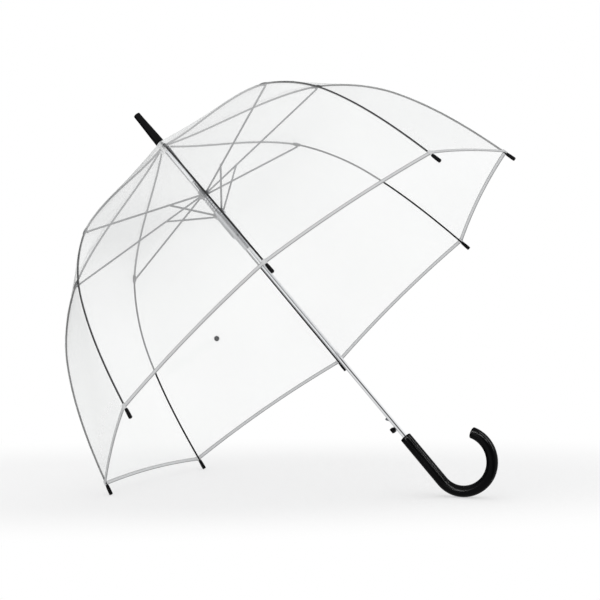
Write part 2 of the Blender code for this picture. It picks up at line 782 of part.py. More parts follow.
bpy.context.view_layer.update()
tips = [
    tuple(turned(Vector(tip_start[0:1].tolist() + [0, -tip_start[1]]) + v.co, rib_angle(k)))
    for k in (0, RIBS - 1) for v in tip_mesh.vertices
]
grip = [tuple(v.co) for v in handle_mesh.vertices]
LOW, HIGH = math.radians(30.0), math.radians(60.0)
for _ in range(60):
    MIDDLE = (LOW + HIGH) / 2
    if lowest(grip, MIDDLE) > lowest(tips, MIDDLE):
        LOW = MIDDLE
    else:
        HIGH = MIDDLE
LEAN = (LOW + HIGH) / 2

every = []
for obj in bpy.data.objects:
    if obj.type == "MESH" and not obj.hide_render:
        every += [tuple(obj.matrix_basis @ v.co) for v in obj.data.vertices]
world = np.array(every) @ np.array(lean_matrix(LEAN)).T
low, high = world.min(axis=0), world.max(axis=0)
OFFSET = Vector((-(low[0] + high[0]) / 2, -(low[1] + high[1]) / 2, -low[2]))
FRAME.matrix_world = Matrix.Translation(OFFSET) @ lean_matrix(LEAN).to_4x4()
bpy.context.view_layer.update()
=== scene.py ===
"""Looks of the clear dome umbrella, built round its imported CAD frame.

Pieces are modelled in the umbrella frame: origin at the crown, +Z up the shaft to
the ferrule, +X towards the ground side.  A point of the side view is (radius,
depth), where depth is measured down the shaft from the crown.
"""

import json  # noqa: E402
import math  # noqa: E402

import bmesh  # noqa: E402
import bpy  # noqa: E402
import numpy as np  # noqa: E402
from mathutils import Matrix, Vector  # noqa: E402


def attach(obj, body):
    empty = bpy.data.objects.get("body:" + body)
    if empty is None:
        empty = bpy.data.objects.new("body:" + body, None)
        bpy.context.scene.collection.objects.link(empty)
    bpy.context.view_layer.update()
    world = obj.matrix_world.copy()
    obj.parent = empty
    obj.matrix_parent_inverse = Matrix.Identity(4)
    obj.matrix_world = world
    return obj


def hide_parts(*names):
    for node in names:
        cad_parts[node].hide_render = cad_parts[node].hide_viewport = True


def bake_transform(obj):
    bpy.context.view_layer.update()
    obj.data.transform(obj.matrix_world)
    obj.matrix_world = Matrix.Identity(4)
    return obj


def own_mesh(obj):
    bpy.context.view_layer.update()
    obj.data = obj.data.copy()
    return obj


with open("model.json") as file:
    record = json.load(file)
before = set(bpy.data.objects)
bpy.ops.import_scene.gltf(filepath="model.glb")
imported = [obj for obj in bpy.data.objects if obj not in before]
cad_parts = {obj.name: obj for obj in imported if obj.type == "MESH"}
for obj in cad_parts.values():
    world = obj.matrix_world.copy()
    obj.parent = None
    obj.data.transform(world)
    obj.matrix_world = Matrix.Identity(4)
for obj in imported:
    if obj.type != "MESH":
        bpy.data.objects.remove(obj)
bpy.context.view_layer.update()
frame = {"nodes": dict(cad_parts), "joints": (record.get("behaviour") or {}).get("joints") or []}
NODES = frame["nodes"]
JOINT = {j["name"]: j for j in frame["joints"]}

# ------------------------------------------------------------ umbrella frame
RIBS = 8
LETTERS = "abcdefgh"
DOWN = Vector(JOINT["runner_slide"]["axis"]).normalized()
UP_SHAFT = -DOWN
GROUND = -Vector(JOINT["button_press"]["axis"])
GROUND = (GROUND - UP_SHAFT * GROUND.dot(UP_SHAFT)).normalized()
SIDE = UP_SHAFT.cross(GROUND)
PIVOT_DEPTH = 0.005
CENTRE = Vector((0, 0, 0))
for letter in LETTERS:
    CENTRE += Vector(JOINT[f"rib_{letter}_crown"]["pos_m"]) / RIBS
CROWN = CENTRE + UP_SHAFT * PIVOT_DEPTH
M = Matrix((GROUND, SIDE, UP_SHAFT)).transposed().to_4x4()
M.translation = CROWN
TO_UMBRELLA = M.inverted()

# ------------------------------------------------------------ camera
forward = Vector((-0.4267924, 0.90224505, -0.06166133)).normalized()
level = forward.cross(Vector((0, 0, 1))).normalized()
upright = level.cross(forward)
roll = math.radians(-0.9636)
right = level * math.cos(roll) + upright * math.sin(roll)
above = right.cross(forward)
camera = bpy.data.objects.new("camera", bpy.data.cameras.new("camera"))
bpy.context.scene.collection.objects.link(camera)
camera.data.sensor_width = 36.0
camera.data.lens = 2307.25 / 600 * 36
camera.data.clip_start, camera.data.clip_end = 0.05, 60.0
place = Matrix((right, above, -forward)).transposed().to_4x4()
place.translation = Vector((1.7083956, -3.57455607, 0.57097647))
camera.matrix_world = place
bpy.context.scene.camera = camera
bpy.context.scene.view_settings.view_transform = "Standard"

# ------------------------------------------------------------ sizes from the CAD
FIRST_RIB_DEG = 22.5
SHAFT_R, SHAFT_WALL, SHAFT_TOP, SHAFT_END, GAP = 0.0042, 0.0007, -0.045, 0.700, 0.0003
FERRULE_TIP, FERRULE_BASE, FERRULE_R_TIP, FERRULE_R_BASE = -0.0745, -0.0063, 0.0061, 0.0079
CROWN_PIVOT, JOINT_1, JOINT_2, RIM = (0.008, 0.005), (0.273, 0.097), (0.367, 0.194), (0.445, 0.408)
CROWN_RISE = 0.0085
SLOPE_1, SLOPE_2, SLOPE_RIM = 34.0, 59.0, 76.5
RIB_R, TIP_R, TIP_LENGTH = 0.00162, 0.0033, 0.0185
CLIP_DROP, LINK_SIDE, LINK_W = 0.004, 0.0031, 0.0024
HUB_PIVOT, RUNNER_PIVOT, STRUT_SHARE = (0.0076, 0.1183), (0.0094, 0.1633), 0.27
CLOSED_SHARE = 0.033 / JOINT_1[0]
RUNNER_BODY_END, RUNNER_SLEEVE_END = 0.2186, 0.2450
SPRING_R, SPRING_WIRE_R, SPRING_TURNS = 0.0057, 0.0005, 13
HANDLE_TOP, HANDLE_BEND, HANDLE_R = 0.675, 0.773, 0.0098
CROOK_REACH, CROOK_R, CROOK_SWEEP = 0.0535, 0.0500, 210.0
CATCH_NOSE, BUTTON_DEPTH, BUTTON_SIZE = (0.6290, 0.6385), 0.6525, 0.0088
BUTTON_LOW, BUTTON_HIGH = 0.0066, 0.0124
FILM_OUT, FILM_HOLE_R, FILM_SAG = 0.0025, 0.0049, 0.006
TRAVEL = JOINT["runner_slide"]["range_m"][1]
BORE = SHAFT_R + GAP


# ------------------------------------------------------------ materials
class Nodes:
    """A short way to write a material's node tree."""

    def __init__(self, name):
        self.material = bpy.data.materials.new(name)
        self.material.use_nodes = True
        self.tree = self.material.node_tree
        self.shader = self.tree.nodes["Principled BSDF"]
        self.output = self.tree.nodes["Material Output"]
        place = self.add("ShaderNodeMapping")
        place.inputs["Rotation"].default_value = TO_UMBRELLA.to_euler()
        place.inputs["Location"].default_value = TO_UMBRELLA.translation
        self.link(self.add("ShaderNodeTexCoord").outputs["Object"], place.inputs["Vector"])
        self.where = place.outputs["Vector"]

    def add(self, kind, **values):
        made = self.tree.nodes.new(kind)
        for key, value in values.items():
            setattr(made, key, value)
        return made

    def link(self, source, target):
        self.tree.links.new(source, target)

    def set(self, **values):
        for key, value in values.items():
            self.shader.inputs[key.replace("_", " ")].default_value = value

    def stretched(self, scale):
        mapping = self.add("ShaderNodeMapping")
        mapping.inputs["Scale"].default_value = scale
        self.link(self.where, mapping.inputs["Vector"])
        return mapping.outputs["Vector"]

    def noise(self, scale, detail=3.0, rough=0.5, vector=None):
        made = self.add("ShaderNodeTexNoise")
        made.inputs["Scale"].default_value = scale
        made.inputs["Detail"].default_value = detail
        made.inputs["Roughness"].default_value = rough
        self.link(vector or self.where, made.inputs["Vector"])
        return made.outputs["Fac"]

    def span(self, source, low, high, from_low=0.0, from_high=1.0):
        made = self.add("ShaderNodeMapRange")
        made.inputs["From Min"].default_value = from_low
        made.inputs["From Max"].default_value = from_high
        made.inputs["To Min"].default_value = low
        made.inputs["To Max"].default_value = high
        self.link(source, made.inputs["Value"])
        return made.outputs["Result"]

    def blend(self, factor, first, second):
        made = self.add("ShaderNodeMix", data_type="RGBA")
        made.inputs[6].default_value = (*first, 1.0)
        made.inputs[7].default_value = (*second, 1.0)
        self.link(factor, made.inputs[0])
        return made.outputs[2]

    def maths(self, operation, a, b=None):
        made = self.add("ShaderNodeMath", operation=operation)
        for socket, value in zip(made.inputs, (a, b)):
            if value is None:
                continue
            if isinstance(value, (int, float)):
                socket.default_value = value
            else:
                self.link(value, socket)
        return made.outputs[0]

    def bump(self, height, strength, distance):
        made = self.add("ShaderNodeBump")
        made.inputs["Strength"].default_value = strength
        made.inputs["Distance"].default_value = distance
        self.link(height, made.inputs["Height"])
        self.link(made.outputs["Normal"], self.shader.inputs["Normal"])
        return made

    def attribute(self, name):
        return self.add("ShaderNodeAttribute", attribute_name=name).outputs["Fac"]


def metal(name, light, dark, rough_low, rough_high, grain=(900, 900, 30), bump=0.02):
    """Plated or drawn steel: a fine grain along the piece and soft smudges."""
    n = Nodes(name)
    smudge = n.noise(38.0, 4.0, 0.6)
    drawn = n.noise(1.0, 2.0, 0.5, n.stretched(grain))
    n.link(n.blend(n.span(smudge, 0, 1, 0.3, 0.7), light, dark), n.shader.inputs["Base Color"])
    mixed = n.maths("ADD", n.maths("MULTIPLY", smudge, 0.6), n.maths("MULTIPLY", drawn, 0.4))
    n.link(n.span(mixed, rough_low, rough_high, 0.3, 0.7), n.shader.inputs["Roughness"])
    n.set(Metallic=1.0)
    if bump:
        n.bump(drawn, bump, 0.0002)
    return n.material


def plastic(name, colour, second, rough_low, rough_high, level=0.5, coat=0.0, grain=2600.0, bump=0.05):
    """A moulding: fine surface grain, flow marks in the gloss and a little tone."""
    n = Nodes(name)
    broad = n.noise(26.0, 3.0, 0.55)
    fine = n.noise(grain, 2.0, 0.5)
    n.link(n.blend(n.span(broad, 0, 1, 0.3, 0.7), colour, second), n.shader.inputs["Base Color"])
    n.link(n.span(broad, rough_low, rough_high, 0.3, 0.7), n.shader.inputs["Roughness"])
    n.set(Specular_IOR_Level=level, Coat_Weight=coat, Coat_Roughness=0.12)
    n.bump(fine, bump, 0.0001)
    return n.material


def film_material(name, haze, colour, edge_gain, rough=0.10, speckle=0.03, clearing=0.0, tint=(0.992, 0.995, 0.994), painted_glow=0.0, gloss=0.35):
    """Clear vinyl: nearly open face on, milkier at a glancing angle, and clear
    where it is pressed against a rib (the near_weld attribute)."""
    n = Nodes(name)
    n.shader.inputs["Roughness"].default_value = rough
    n.set(Specular_IOR_Level=gloss)
    # The film gives off a little light of its own here: painted light that brightens its haze.
    n.shader.inputs["Emission Color"].default_value = (0.97, 0.98, 0.98, 1.0)
    n.shader.inputs["Emission Strength"].default_value = painted_glow
    cloud = n.noise(5.0, 3.0, 0.5)
    ripple = n.noise(26.0, 2.0, 0.5)
    apart = n.add("ShaderNodeSeparateXYZ")
    n.link(n.where, apart.inputs[0])
    # Towards the crown the haze is painted darker, down to 0.78 of its colour: painted shade. The same mask also makes
    # the haze there thicker. The cloud noise mixed in with it is random tone.
    crown = n.add("ShaderNodeMapRange", interpolation_type="SMOOTHSTEP")
    for socket, value in (("From Min", -0.20), ("From Max", -0.07), ("To Min", 0.0), ("To Max", 1.0)):
        crown.inputs[socket].default_value = value
    n.link(apart.outputs["Z"], crown.inputs["Value"])
    cloud_tone_and_crown_shade = n.maths("ADD", n.maths("MULTIPLY", n.span(cloud, 0, 1, 0.3, 0.7), 0.35), n.maths("MULTIPLY", crown.outputs["Result"], 0.65))
    near_crown = n.add("ShaderNodeMapRange", interpolation_type="SMOOTHSTEP")
    near_crown.inputs["From Min"].default_value, near_crown.inputs["From Max"].default_value = -0.115, -0.080
    n.link(apart.outputs["Z"], near_crown.inputs["Value"])
    # Over the upper gores on one side the haze is painted darker still, to 0.70 of its colour: painted shade for the
    # grey, creased film seen there at a glancing angle. The patch is also made milkier.
    to_side = n.add("ShaderNodeMapRange", interpolation_type="SMOOTHSTEP")
    to_side.inputs["From Min"].default_value, to_side.inputs["From Max"].default_value = 0.06, 0.15
    n.link(apart.outputs["X"], to_side.inputs["Value"])
    top_part = n.add("ShaderNodeMapRange", interpolation_type="SMOOTHSTEP")
    top_part.inputs["From Min"].default_value, top_part.inputs["From Max"].default_value = -0.092, -0.058
    n.link(apart.outputs["Z"], top_part.inputs["Value"])
    haze_and_painted_shade_patch = n.maths("MULTIPLY", top_part.outputs["Result"], to_side.outputs["Result"])
    patch_shade_mix = n.add("ShaderNodeMix", data_type="RGBA")
    n.link(haze_and_painted_shade_patch, patch_shade_mix.inputs[0])
    n.link(n.blend(cloud_tone_and_crown_shade, colour, tuple(c * 0.78 for c in colour)), patch_shade_mix.inputs[6])
    patch_shade_mix.inputs[7].default_value = (*(c * 0.70 for c in colour), 1.0)
    n.link(patch_shade_mix.outputs[2], n.shader.inputs["Base Color"])
    n.bump(ripple, 0.2, 0.0015)
    weight = n.add("ShaderNodeLayerWeight")
    weight.inputs["Blend"].default_value = 0.32
    facing = n.maths("POWER", weight.outputs["Facing"], 2.4)
    amount = n.maths("ADD", n.maths("MULTIPLY", facing, edge_gain), n.span(cloud, haze - speckle, haze + speckle, 0.3, 0.7))
    amount = n.maths("ADD", amount, n.maths("MULTIPLY", crown.outputs["Result"], haze * 0.45))
    amount = n.maths("ADD", amount, n.maths("MULTIPLY", haze_and_painted_shade_patch, haze * 0.6))
    if clearing:
        lower = n.maths("SUBTRACT", 1.0, n.maths("MULTIPLY", near_crown.outputs["Result"], 0.7))
        amount = n.maths("MULTIPLY", amount, n.span(n.maths("MULTIPLY", n.attribute("near_weld"), lower), 1.0, 1.0 - clearing))
    capped = n.maths("MINIMUM", amount, 0.92)
    clear = n.add("ShaderNodeBsdfTransparent")
    clear.inputs["Color"].default_value = (*tint, 1.0)
    both = n.add("ShaderNodeMixShader")
    n.link(capped, both.inputs[0])
    n.link(clear.outputs[0], both.inputs[1])
    n.link(n.shader.outputs[0], both.inputs[2])
    n.link(both.outputs[0], n.output.inputs["Surface"])
    return n.material


CHROME = metal("chrome_tube", (0.88, 0.89, 0.90), (0.82, 0.83, 0.85), 0.03, 0.08, (900, 900, 12), 0.0)
BRIGHT = metal("plated_steel", (0.50, 0.51, 0.53), (0.40, 0.41, 0.43), 0.16, 0.30)
LINK = metal("zinc_plated_link", (0.17, 0.178, 0.19), (0.12, 0.127, 0.138), 0.30, 0.44, (300, 300, 300), 0.05)
SPRING_STEEL = metal("spring_steel", (0.46, 0.47, 0.49), (0.34, 0.35, 0.37), 0.18, 0.32, (400, 400, 400), 0.03)
RUNNER_LOOK = metal("nickelled_runner", (0.52, 0.53, 0.55), (0.42, 0.43, 0.45), 0.08, 0.15, (700, 700, 20), 0.0)
SNAP_METAL = metal("snap_metal", (0.26, 0.264, 0.27), (0.19, 0.194, 0.20), 0.32, 0.45, (500, 500, 500), 0.04)
BLACK = plastic("black_moulding", (0.0025, 0.0025, 0.003), (0.005, 0.005, 0.0055), 0.30, 0.42, 0.08, 0.0, 1400.0, 0.015)
GLOSS = plastic("black_crook_gloss", (0.0018, 0.0018, 0.0021), (0.0030, 0.0030, 0.0034), 0.15, 0.21, 0.05, 0.0, 900.0, 0.004)
GREY = plastic("grey_nylon", (0.16, 0.165, 0.175), (0.22, 0.225, 0.235), 0.34, 0.48, 0.35)
DARK_GREY = plastic("dark_grey_nylon", (0.035, 0.037, 0.041), (0.055, 0.057, 0.062), 0.34, 0.48, 0.30)
rod_look = Nodes("black_composite_rod")
deep = rod_look.add("ShaderNodeSeparateXYZ")
rod_look.link(rod_look.where, deep.inputs[0])
# Near the crown the rods are coloured light grey instead of black: painted light for the glare of the film over them
# there.
glare_grey_mask = rod_look.add("ShaderNodeMapRange", interpolation_type="SMOOTHSTEP")
for socket, value in (("From Min", -0.110), ("From Max", -0.078), ("To Min", 0.0), ("To Max", 1.0)):
    glare_grey_mask.inputs[socket].default_value = value
rod_look.link(deep.outputs["Z"], glare_grey_mask.inputs["Value"])
streaks = rod_look.noise(1.0, 2.0, 0.5, rod_look.stretched((700, 700, 60)))
mix_rod = rod_look.add("ShaderNodeMix", data_type="RGBA")
rod_look.link(glare_grey_mask.outputs["Result"], mix_rod.inputs[0])
rod_look.link(rod_look.blend(rod_look.span(streaks, 0, 1, 0.3, 0.7), (0.0025, 0.0025, 0.003), (0.005, 0.005, 0.0055)), mix_rod.inputs[6])
rod_look.link(rod_look.blend(rod_look.span(streaks, 0, 1, 0.3, 0.7), (0.15, 0.154, 0.16), (0.21, 0.214, 0.22)), mix_rod.inputs[7])
rod_look.link(mix_rod.outputs[2], rod_look.shader.inputs["Base Color"])
rod_look.link(rod_look.span(streaks, 0.34, 0.46, 0.3, 0.7), rod_look.shader.inputs["Roughness"])
rod_look.set(Specular_IOR_Level=0.06)
rod_look.bump(streaks, 0.04, 0.0001)
BLACK_ROD = rod_look.material
MILKY = plastic("milky_washer", (0.95, 0.955, 0.955), (0.97, 0.97, 0.97), 0.34, 0.46, 0.25, 0.0, 1400.0, 0.01)
FILM = film_material("clear_vinyl_film", 0.33, (0.90, 0.903, 0.903), 0.04, 0.10, 0.03, 0.97, (0.984, 0.987, 0.986), 0.13, 0.10)
WELD = film_material("welded_seam", 0.008, (0.965, 0.968, 0.968), 0.02, 0.15, 0.003)
STRAP_FILM = film_material("clear_strap_film", 0.03, (0.965, 0.968, 0.968), 0.06, 0.12, 0.01)

hem = Nodes("grey_hem_tape")
edge = hem.attribute("edge")
tone = hem.noise(60.0, 3.0, 0.5)
lines = hem.noise(1.0, 1.0, 0.5, hem.stretched((1400, 1400, 1400)))
# The tape is painted darker along its two welded edges (the edge attribute) and lighter in the middle: painted shade of
# the beads at its edges.
hem.link(hem.blend(hem.span(edge, 0, 1, 0.15, 0.85), (0.66, 0.665, 0.67), (0.34, 0.345, 0.35)), hem.shader.inputs["Base Color"])
hem.link(hem.span(tone, 0.32, 0.48, 0.3, 0.7), hem.shader.inputs["Roughness"])
hem.set(Specular_IOR_Level=0.4)
hem.bump(lines, 0.15, 0.0001)
HEM_TAPE = hem.material


# ------------------------------------------------------------ mesh helpers
def piece(name, verts, faces, look, sharp=40.0, smooth=True):
    """A mesh object made from umbrella-frame points, faces turned outwards."""
    bm = bmesh.new()
    made = [bm.verts.new(M @ Vector(v)) for v in verts]
    for f in faces:
        bm.faces.new([made[i] for i in f])
    bmesh.ops.remove_doubles(bm, verts=bm.verts, dist=1e-7)
    bmesh.ops.recalc_face_normals(bm, faces=bm.faces)
    mesh = bpy.data.meshes.new(name)
    bm.to_mesh(mesh)
    bm.free()
    if smooth:
        mesh.shade_smooth()
        mesh.set_sharp_from_angle(angle=math.radians(sharp))
    mesh.materials.append(look)
    obj = bpy.data.objects.new(name, mesh)
    bpy.context.scene.collection.objects.link(obj)
    return obj


def fillet(profile, radius, steps=4, closed=False):
    """Rounds the corners of a (radius, depth) outline."""
    out, count = [], len(profile)
    for i, p in enumerate(profile):
        if not closed and i in (0, count - 1):
            out.append(tuple(p))
            continue
        a, b, c = (np.array(profile[(i + k) % count], float) for k in (-1, 0, 1))
        u, v = a - b, c - b
        lu, lv = np.linalg.norm(u), np.linalg.norm(v)
        if lu < 1e-9 or lv < 1e-9:
            out.append(tuple(p))
            continue
        u, v = u / lu, v / lv
        turn = math.acos(max(-1.0, min(1.0, float(u @ v))))
        r = radius[i] if isinstance(radius, (list, tuple)) else radius
        if r <= 0 or turn > math.radians(174):
            out.append(tuple(p))
            continue
        reach = min(r / math.tan(turn / 2), lu * 0.45, lv * 0.45)
        start, end = b + u * reach, b + v * reach
        for k in range(steps + 1):
            t = k / steps
            q = (1 - t) ** 2 * start + 2 * t * (1 - t) * b + t**2 * end
            out.append((float(q[0]), float(q[1])))
    return out


def revolve(profile, sides, closed=True):
    """Vertices and faces of a (radius, depth) outline turned round the shaft."""
    verts, rings = [], []
    for radius, depth in profile:
        if radius <= 1e-9:
            rings.append([len(verts)])
            verts.append((0.0, 0.0, -depth))
            continue
        rings.append(list(range(len(verts), len(verts) + sides)))
        for k in range(sides):
            a = 2 * math.pi * k / sides
            verts.append((radius * math.cos(a), radius * math.sin(a), -depth))
    faces, count = [], len(rings)
    for i in range(count if closed else count - 1):
        one, two = rings[i], rings[(i + 1) % count]
        for k in range(sides):
            n = (k + 1) % sides
            if len(one) == 1 and len(two) == 1:
                continue
            if len(one) == 1:
                faces.append((one[0], two[k], two[n]))
            elif len(two) == 1:
                faces.append((one[k], two[0], one[n]))
            else:
                faces.append((one[k], two[k], two[n], one[n]))
    return verts, faces


def joined(parts):
    verts, faces = [], []
    for v, f in parts:
        faces += [tuple(i + len(verts) for i in face) for face in f]
        verts += [tuple(p) for p in v]
    return verts, faces


def moved(part, matrix):
    verts, faces = part
    return [tuple(matrix @ Vector(v)) for v in verts], faces


def tube(path, section, cap=True, across=None, scale=None):
    """Carries a closed section of (across, out) points along a path, turning as
    little as it can, and gives vertices and faces."""
    path = [Vector(p) for p in path]
    count, verts, faces = len(path), [], []
    side = Vector(across) if across is not None else None
    for i, point in enumerate(path):
        along = (path[min(i + 1, count - 1)] - path[max(i - 1, 0)]).normalized()
        if side is None:
            side = along.orthogonal()
        side = (side - along * side.dot(along)).normalized()
        out = side.cross(along).normalized()
        k = 1.0 if scale is None else scale[i]
        for s, t in section:
            verts.append(tuple(point + side * s * k + out * t * k))
    per = len(section)
    for i in range(count - 1):
        for k in range(per):
            n = (k + 1) % per
            faces.append((i * per + k, i * per + n, (i + 1) * per + n, (i + 1) * per + k))
    if cap:
        faces.append(tuple(range(per)))
        faces.append(tuple(range((count - 1) * per, count * per)))
    return verts, faces


def circle(radius, sides, phase=0.0):
    return [
        (radius * math.cos(2 * math.pi * (k + phase) / sides), radius * math.sin(2 * math.pi * (k + phase) / sides))
        for k in range(sides)
    ]


def ring(radius, depth, wire, sides=72, around=8):
    """A thin wire ring round the shaft."""
    verts, faces = [], []
    for i in range(sides):
        a = 2 * math.pi * i / sides
        for k in range(around):
            b = 2 * math.pi * k / around
            r = radius + wire * math.cos(b)
            verts.append((r * math.cos(a), r * math.sin(a), -depth + wire * math.sin(b)))
    for i in range(sides):
        for k in range(around):
            n, m = (i + 1) % sides, (k + 1) % around
            faces.append((i * around + k, n * around + k, n * around + m, i * around + m))
    return verts, faces


def block(low, high):
    (x0, y0, z0), (x1, y1, z1) = low, high
    verts = [(x, y, z) for x in (x0, x1) for y in (y0, y1) for z in (z0, z1)]
    return verts, [(0, 1, 3, 2), (4, 6, 7, 5), (0, 4, 5, 1), (2, 3, 7, 6), (0, 2, 6, 4), (1, 5, 7, 3)]


def carve(obj, cutter_part):
    """Cuts a helper mesh out of a piece and keeps the result as its mesh."""
    helper = piece("helper", *cutter_part, BLACK, smooth=False)
    step = obj.modifiers.new("cut", "BOOLEAN")
    step.operation, step.object, step.solver = "DIFFERENCE", helper, "EXACT"
    bpy.context.view_layer.update()
    graph = bpy.context.evaluated_depsgraph_get()
    mesh = bpy.data.meshes.new_from_object(obj.evaluated_get(graph), depsgraph=graph)
    obj.modifiers.clear()
    obj.data = mesh
    bpy.data.objects.remove(helper, do_unlink=True)
    mesh.shade_smooth()
    mesh.set_sharp_from_angle(angle=math.radians(32))


def softened(obj, width, segments=2, angle=32.0):
    """Breaks a piece's hard edges with a small bevel."""
    step = obj.modifiers.new("edge_break", "BEVEL")
    step.width, step.segments, step.limit_method = width, segments, "ANGLE"
    step.angle_limit = math.radians(angle)
    step.harden_normals = True
    step.use_clamp_overlap = True
    return obj


def rib_angle(k):
    return math.radians(FIRST_RIB_DEG + 360.0 * k / RIBS)


def turn_z(k):
    return Matrix.Rotation(rib_angle(k), 4, "Z")


def rib_point(k, point, side=0.0):
    """A side-view point at rib k, in the umbrella frame."""
    return turn_z(k) @ Vector((point[0], side, -point[1]))


def in_world(p):
    return M @ Vector(p)


def direction(p):
    return M.to_3x3() @ Vector(p)


def place_on(obj, body, *nodes, slot=None):
    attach(obj, body)
    if nodes:
        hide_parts(*nodes)
    return obj


# ------------------------------------------------------------ rib outline
def unit(degrees):
    return np.array([math.cos(math.radians(degrees)), math.sin(math.radians(degrees))])


def hermite(p, q, slope_p, slope_q, t):
    p, q = np.array(p), np.array(q)
    reach = np.linalg.norm(q - p)
    u, v = unit(slope_p) * reach, unit(slope_q) * reach
    return (2 * t**3 - 3 * t**2 + 1) * p + (t**3 - 2 * t**2 + t) * u + (-2 * t**3 + 3 * t**2) * q + (t**3 - t**2) * v


def chord_deg(p, q):
    return math.degrees(math.atan2(q[1] - p[1], q[0] - p[0]))


def upper(t):
    p, q = np.array(CROWN_PIVOT), np.array(JOINT_1)
    along = (q - p) / np.linalg.norm(q - p)
    rise = np.array([along[1], -along[0]])
    return hermite(p, q, chord_deg(p, q) + 4.5, SLOPE_1 - 6.0, t) + 0.25 * CROWN_RISE * math.sin(math.pi * t) * rise


def shoulder(t):
    return hermite(JOINT_1, JOINT_2, SLOPE_1, SLOPE_2, t)


def skirt(t):
    return hermite(JOINT_2, RIM, SLOPE_2 + 1.0, SLOPE_RIM, t)


FINE = 240
CURVES = [np.array([c(t) for t in np.linspace(0, 1, FINE + 1)]) for c in (upper, shoulder, skirt)]
LINE = np.concatenate([CURVES[0], CURVES[1][1:], CURVES[2][1:]])
RUN = np.r_[0.0, np.cumsum(np.linalg.norm(np.diff(LINE, axis=0), axis=1))]
ENDS = [0.0, RUN[FINE], RUN[2 * FINE], RUN[3 * FINE]]       # arc length at each rib joint


def along_rib(run):
    return np.array([np.interp(run, RUN, LINE[:, 0]), np.interp(run, RUN, LINE[:, 1])])


def outward(run, reach=0.012):
    """The rib's outward normal, averaged over a short stretch so that the film
    turns evenly over the joints."""
    a, b = along_rib(max(run - reach, 0.0)), along_rib(min(run + reach, RUN[-1]))
    t = (b - a) / np.linalg.norm(b - a)
    return np.array([t[1], -t[0]])


def clip_point():
    inward = unit(SLOPE_1 + 90.0)
    return (JOINT_1[0] + inward[0] * CLIP_DROP, JOINT_1[1] + inward[1] * CLIP_DROP)


CLIP = clip_point()
KNEE = (
    HUB_PIVOT[0] + (CLIP[0] - HUB_PIVOT[0]) * STRUT_SHARE,
    HUB_PIVOT[1] + (CLIP[1] - HUB_PIVOT[1]) * STRUT_SHARE,
)

# ------------------------------------------------------------ shaft, ferrule, crown
shaft = piece(
    "shaft_tube_finish",
    *revolve(
        [(SHAFT_R, SHAFT_TOP), (SHAFT_R, SHAFT_END), (SHAFT_R - SHAFT_WALL, SHAFT_END), (SHAFT_R - SHAFT_WALL, SHAFT_TOP)],
        72,
    ),
    CHROME,
)
carve(shaft, block((0.0015, -0.0017, -(BUTTON_DEPTH + 0.0080)), (0.0070, 0.0017, -(CATCH_NOSE[0] - 0.0020))))
place_on(shaft, "root", "shaft_tube", slot="shaft_steel")

profile = [
    (0.0, FERRULE_TIP + 0.0006), (0.0034, FERRULE_TIP + 0.0006), (0.0040, FERRULE_TIP), (FERRULE_R_TIP, FERRULE_TIP),
    (FERRULE_R_TIP + 0.0002, FERRULE_TIP + 0.0120),
    (FERRULE_R_BASE - 0.0002, FERRULE_BASE - 0.0150), (FERRULE_R_BASE, FERRULE_BASE - 0.0040),
    (FERRULE_R_BASE, FERRULE_BASE), (BORE, FERRULE_BASE), (BORE, SHAFT_TOP - 0.0010), (0.0, SHAFT_TOP - 0.0010),
]
ferrule = piece(
    "ferrule_finish",
    *revolve(fillet(profile, [0, 0.0004, 0.0003, 0.0014, 0.01, 0.01, 0.004, 0.0007, 0, 0, 0], 5), 64, closed=False),
    BLACK,
)
place_on(ferrule, "root", "ferrule", slot="black_plastic")

cap_profile = [
    (BORE, FERRULE_BASE + GAP), (0.0068, FERRULE_BASE + GAP), (0.0082, -0.0025),
    (0.0088, 0.0012), (0.0085, 0.0021), (BORE, 0.0006),
]
cap = piece("crown_cap_finish", *revolve(fillet(cap_profile, [0, 0.0006, 0.0020, 0.0010, 0.0004, 0], 4, closed=True), 64), MILKY)
place_on(cap, "root", "crown_cap", slot="clear_plastic")

notch_profile = [(BORE, 0.0026), (0.0106, 0.0051), (0.0106, 0.0108), (0.0080, 0.0135), (BORE, 0.0135)]
notch = piece("top_notch_finish", *revolve(fillet(notch_profile, [0, 0.0006, 0.0006, 0.0006, 0], 3, closed=True), 64), MILKY)
slots = [moved(block((0.0061, -0.0018, -0.0160), (0.0140, 0.0018, 0.0)), turn_z(k)) for k in range(RIBS)]
carve(notch, joined(slots))
place_on(notch, "root", "top_notch")
place_on(piece("notch_wire_ring", *ring(CROWN_PIVOT[0] + 0.0004, CROWN_PIVOT[1] + 0.0004, 0.0005), BRIGHT, 180), "root")

# ------------------------------------------------------------ handle
path = [Vector((0, 0, -d)) for d in np.linspace(HANDLE_TOP, HANDLE_BEND, 14)]
bends = 96
for k in range(1, bends + 1):
    a = math.radians(CROOK_SWEEP) * k / bends
    wide = CROOK_REACH if math.cos(a) > 0 else CROOK_R
    path.append(Vector((-CROOK_REACH + wide * math.cos(a), 0.0, -HANDLE_BEND - CROOK_R * math.sin(a))))
sides, verts, faces, rings = 56, [], [], []


def grip_ring(point, along, radius):
    out = Vector((0, 1, 0)).cross(along).normalized()
    rings.append(list(range(len(verts), len(verts) + sides)))
    for k in range(sides):
        a = 2 * math.pi * k / sides
        verts.append(tuple(point + Vector((0, radius * math.cos(a), 0)) + out * radius * math.sin(a)))


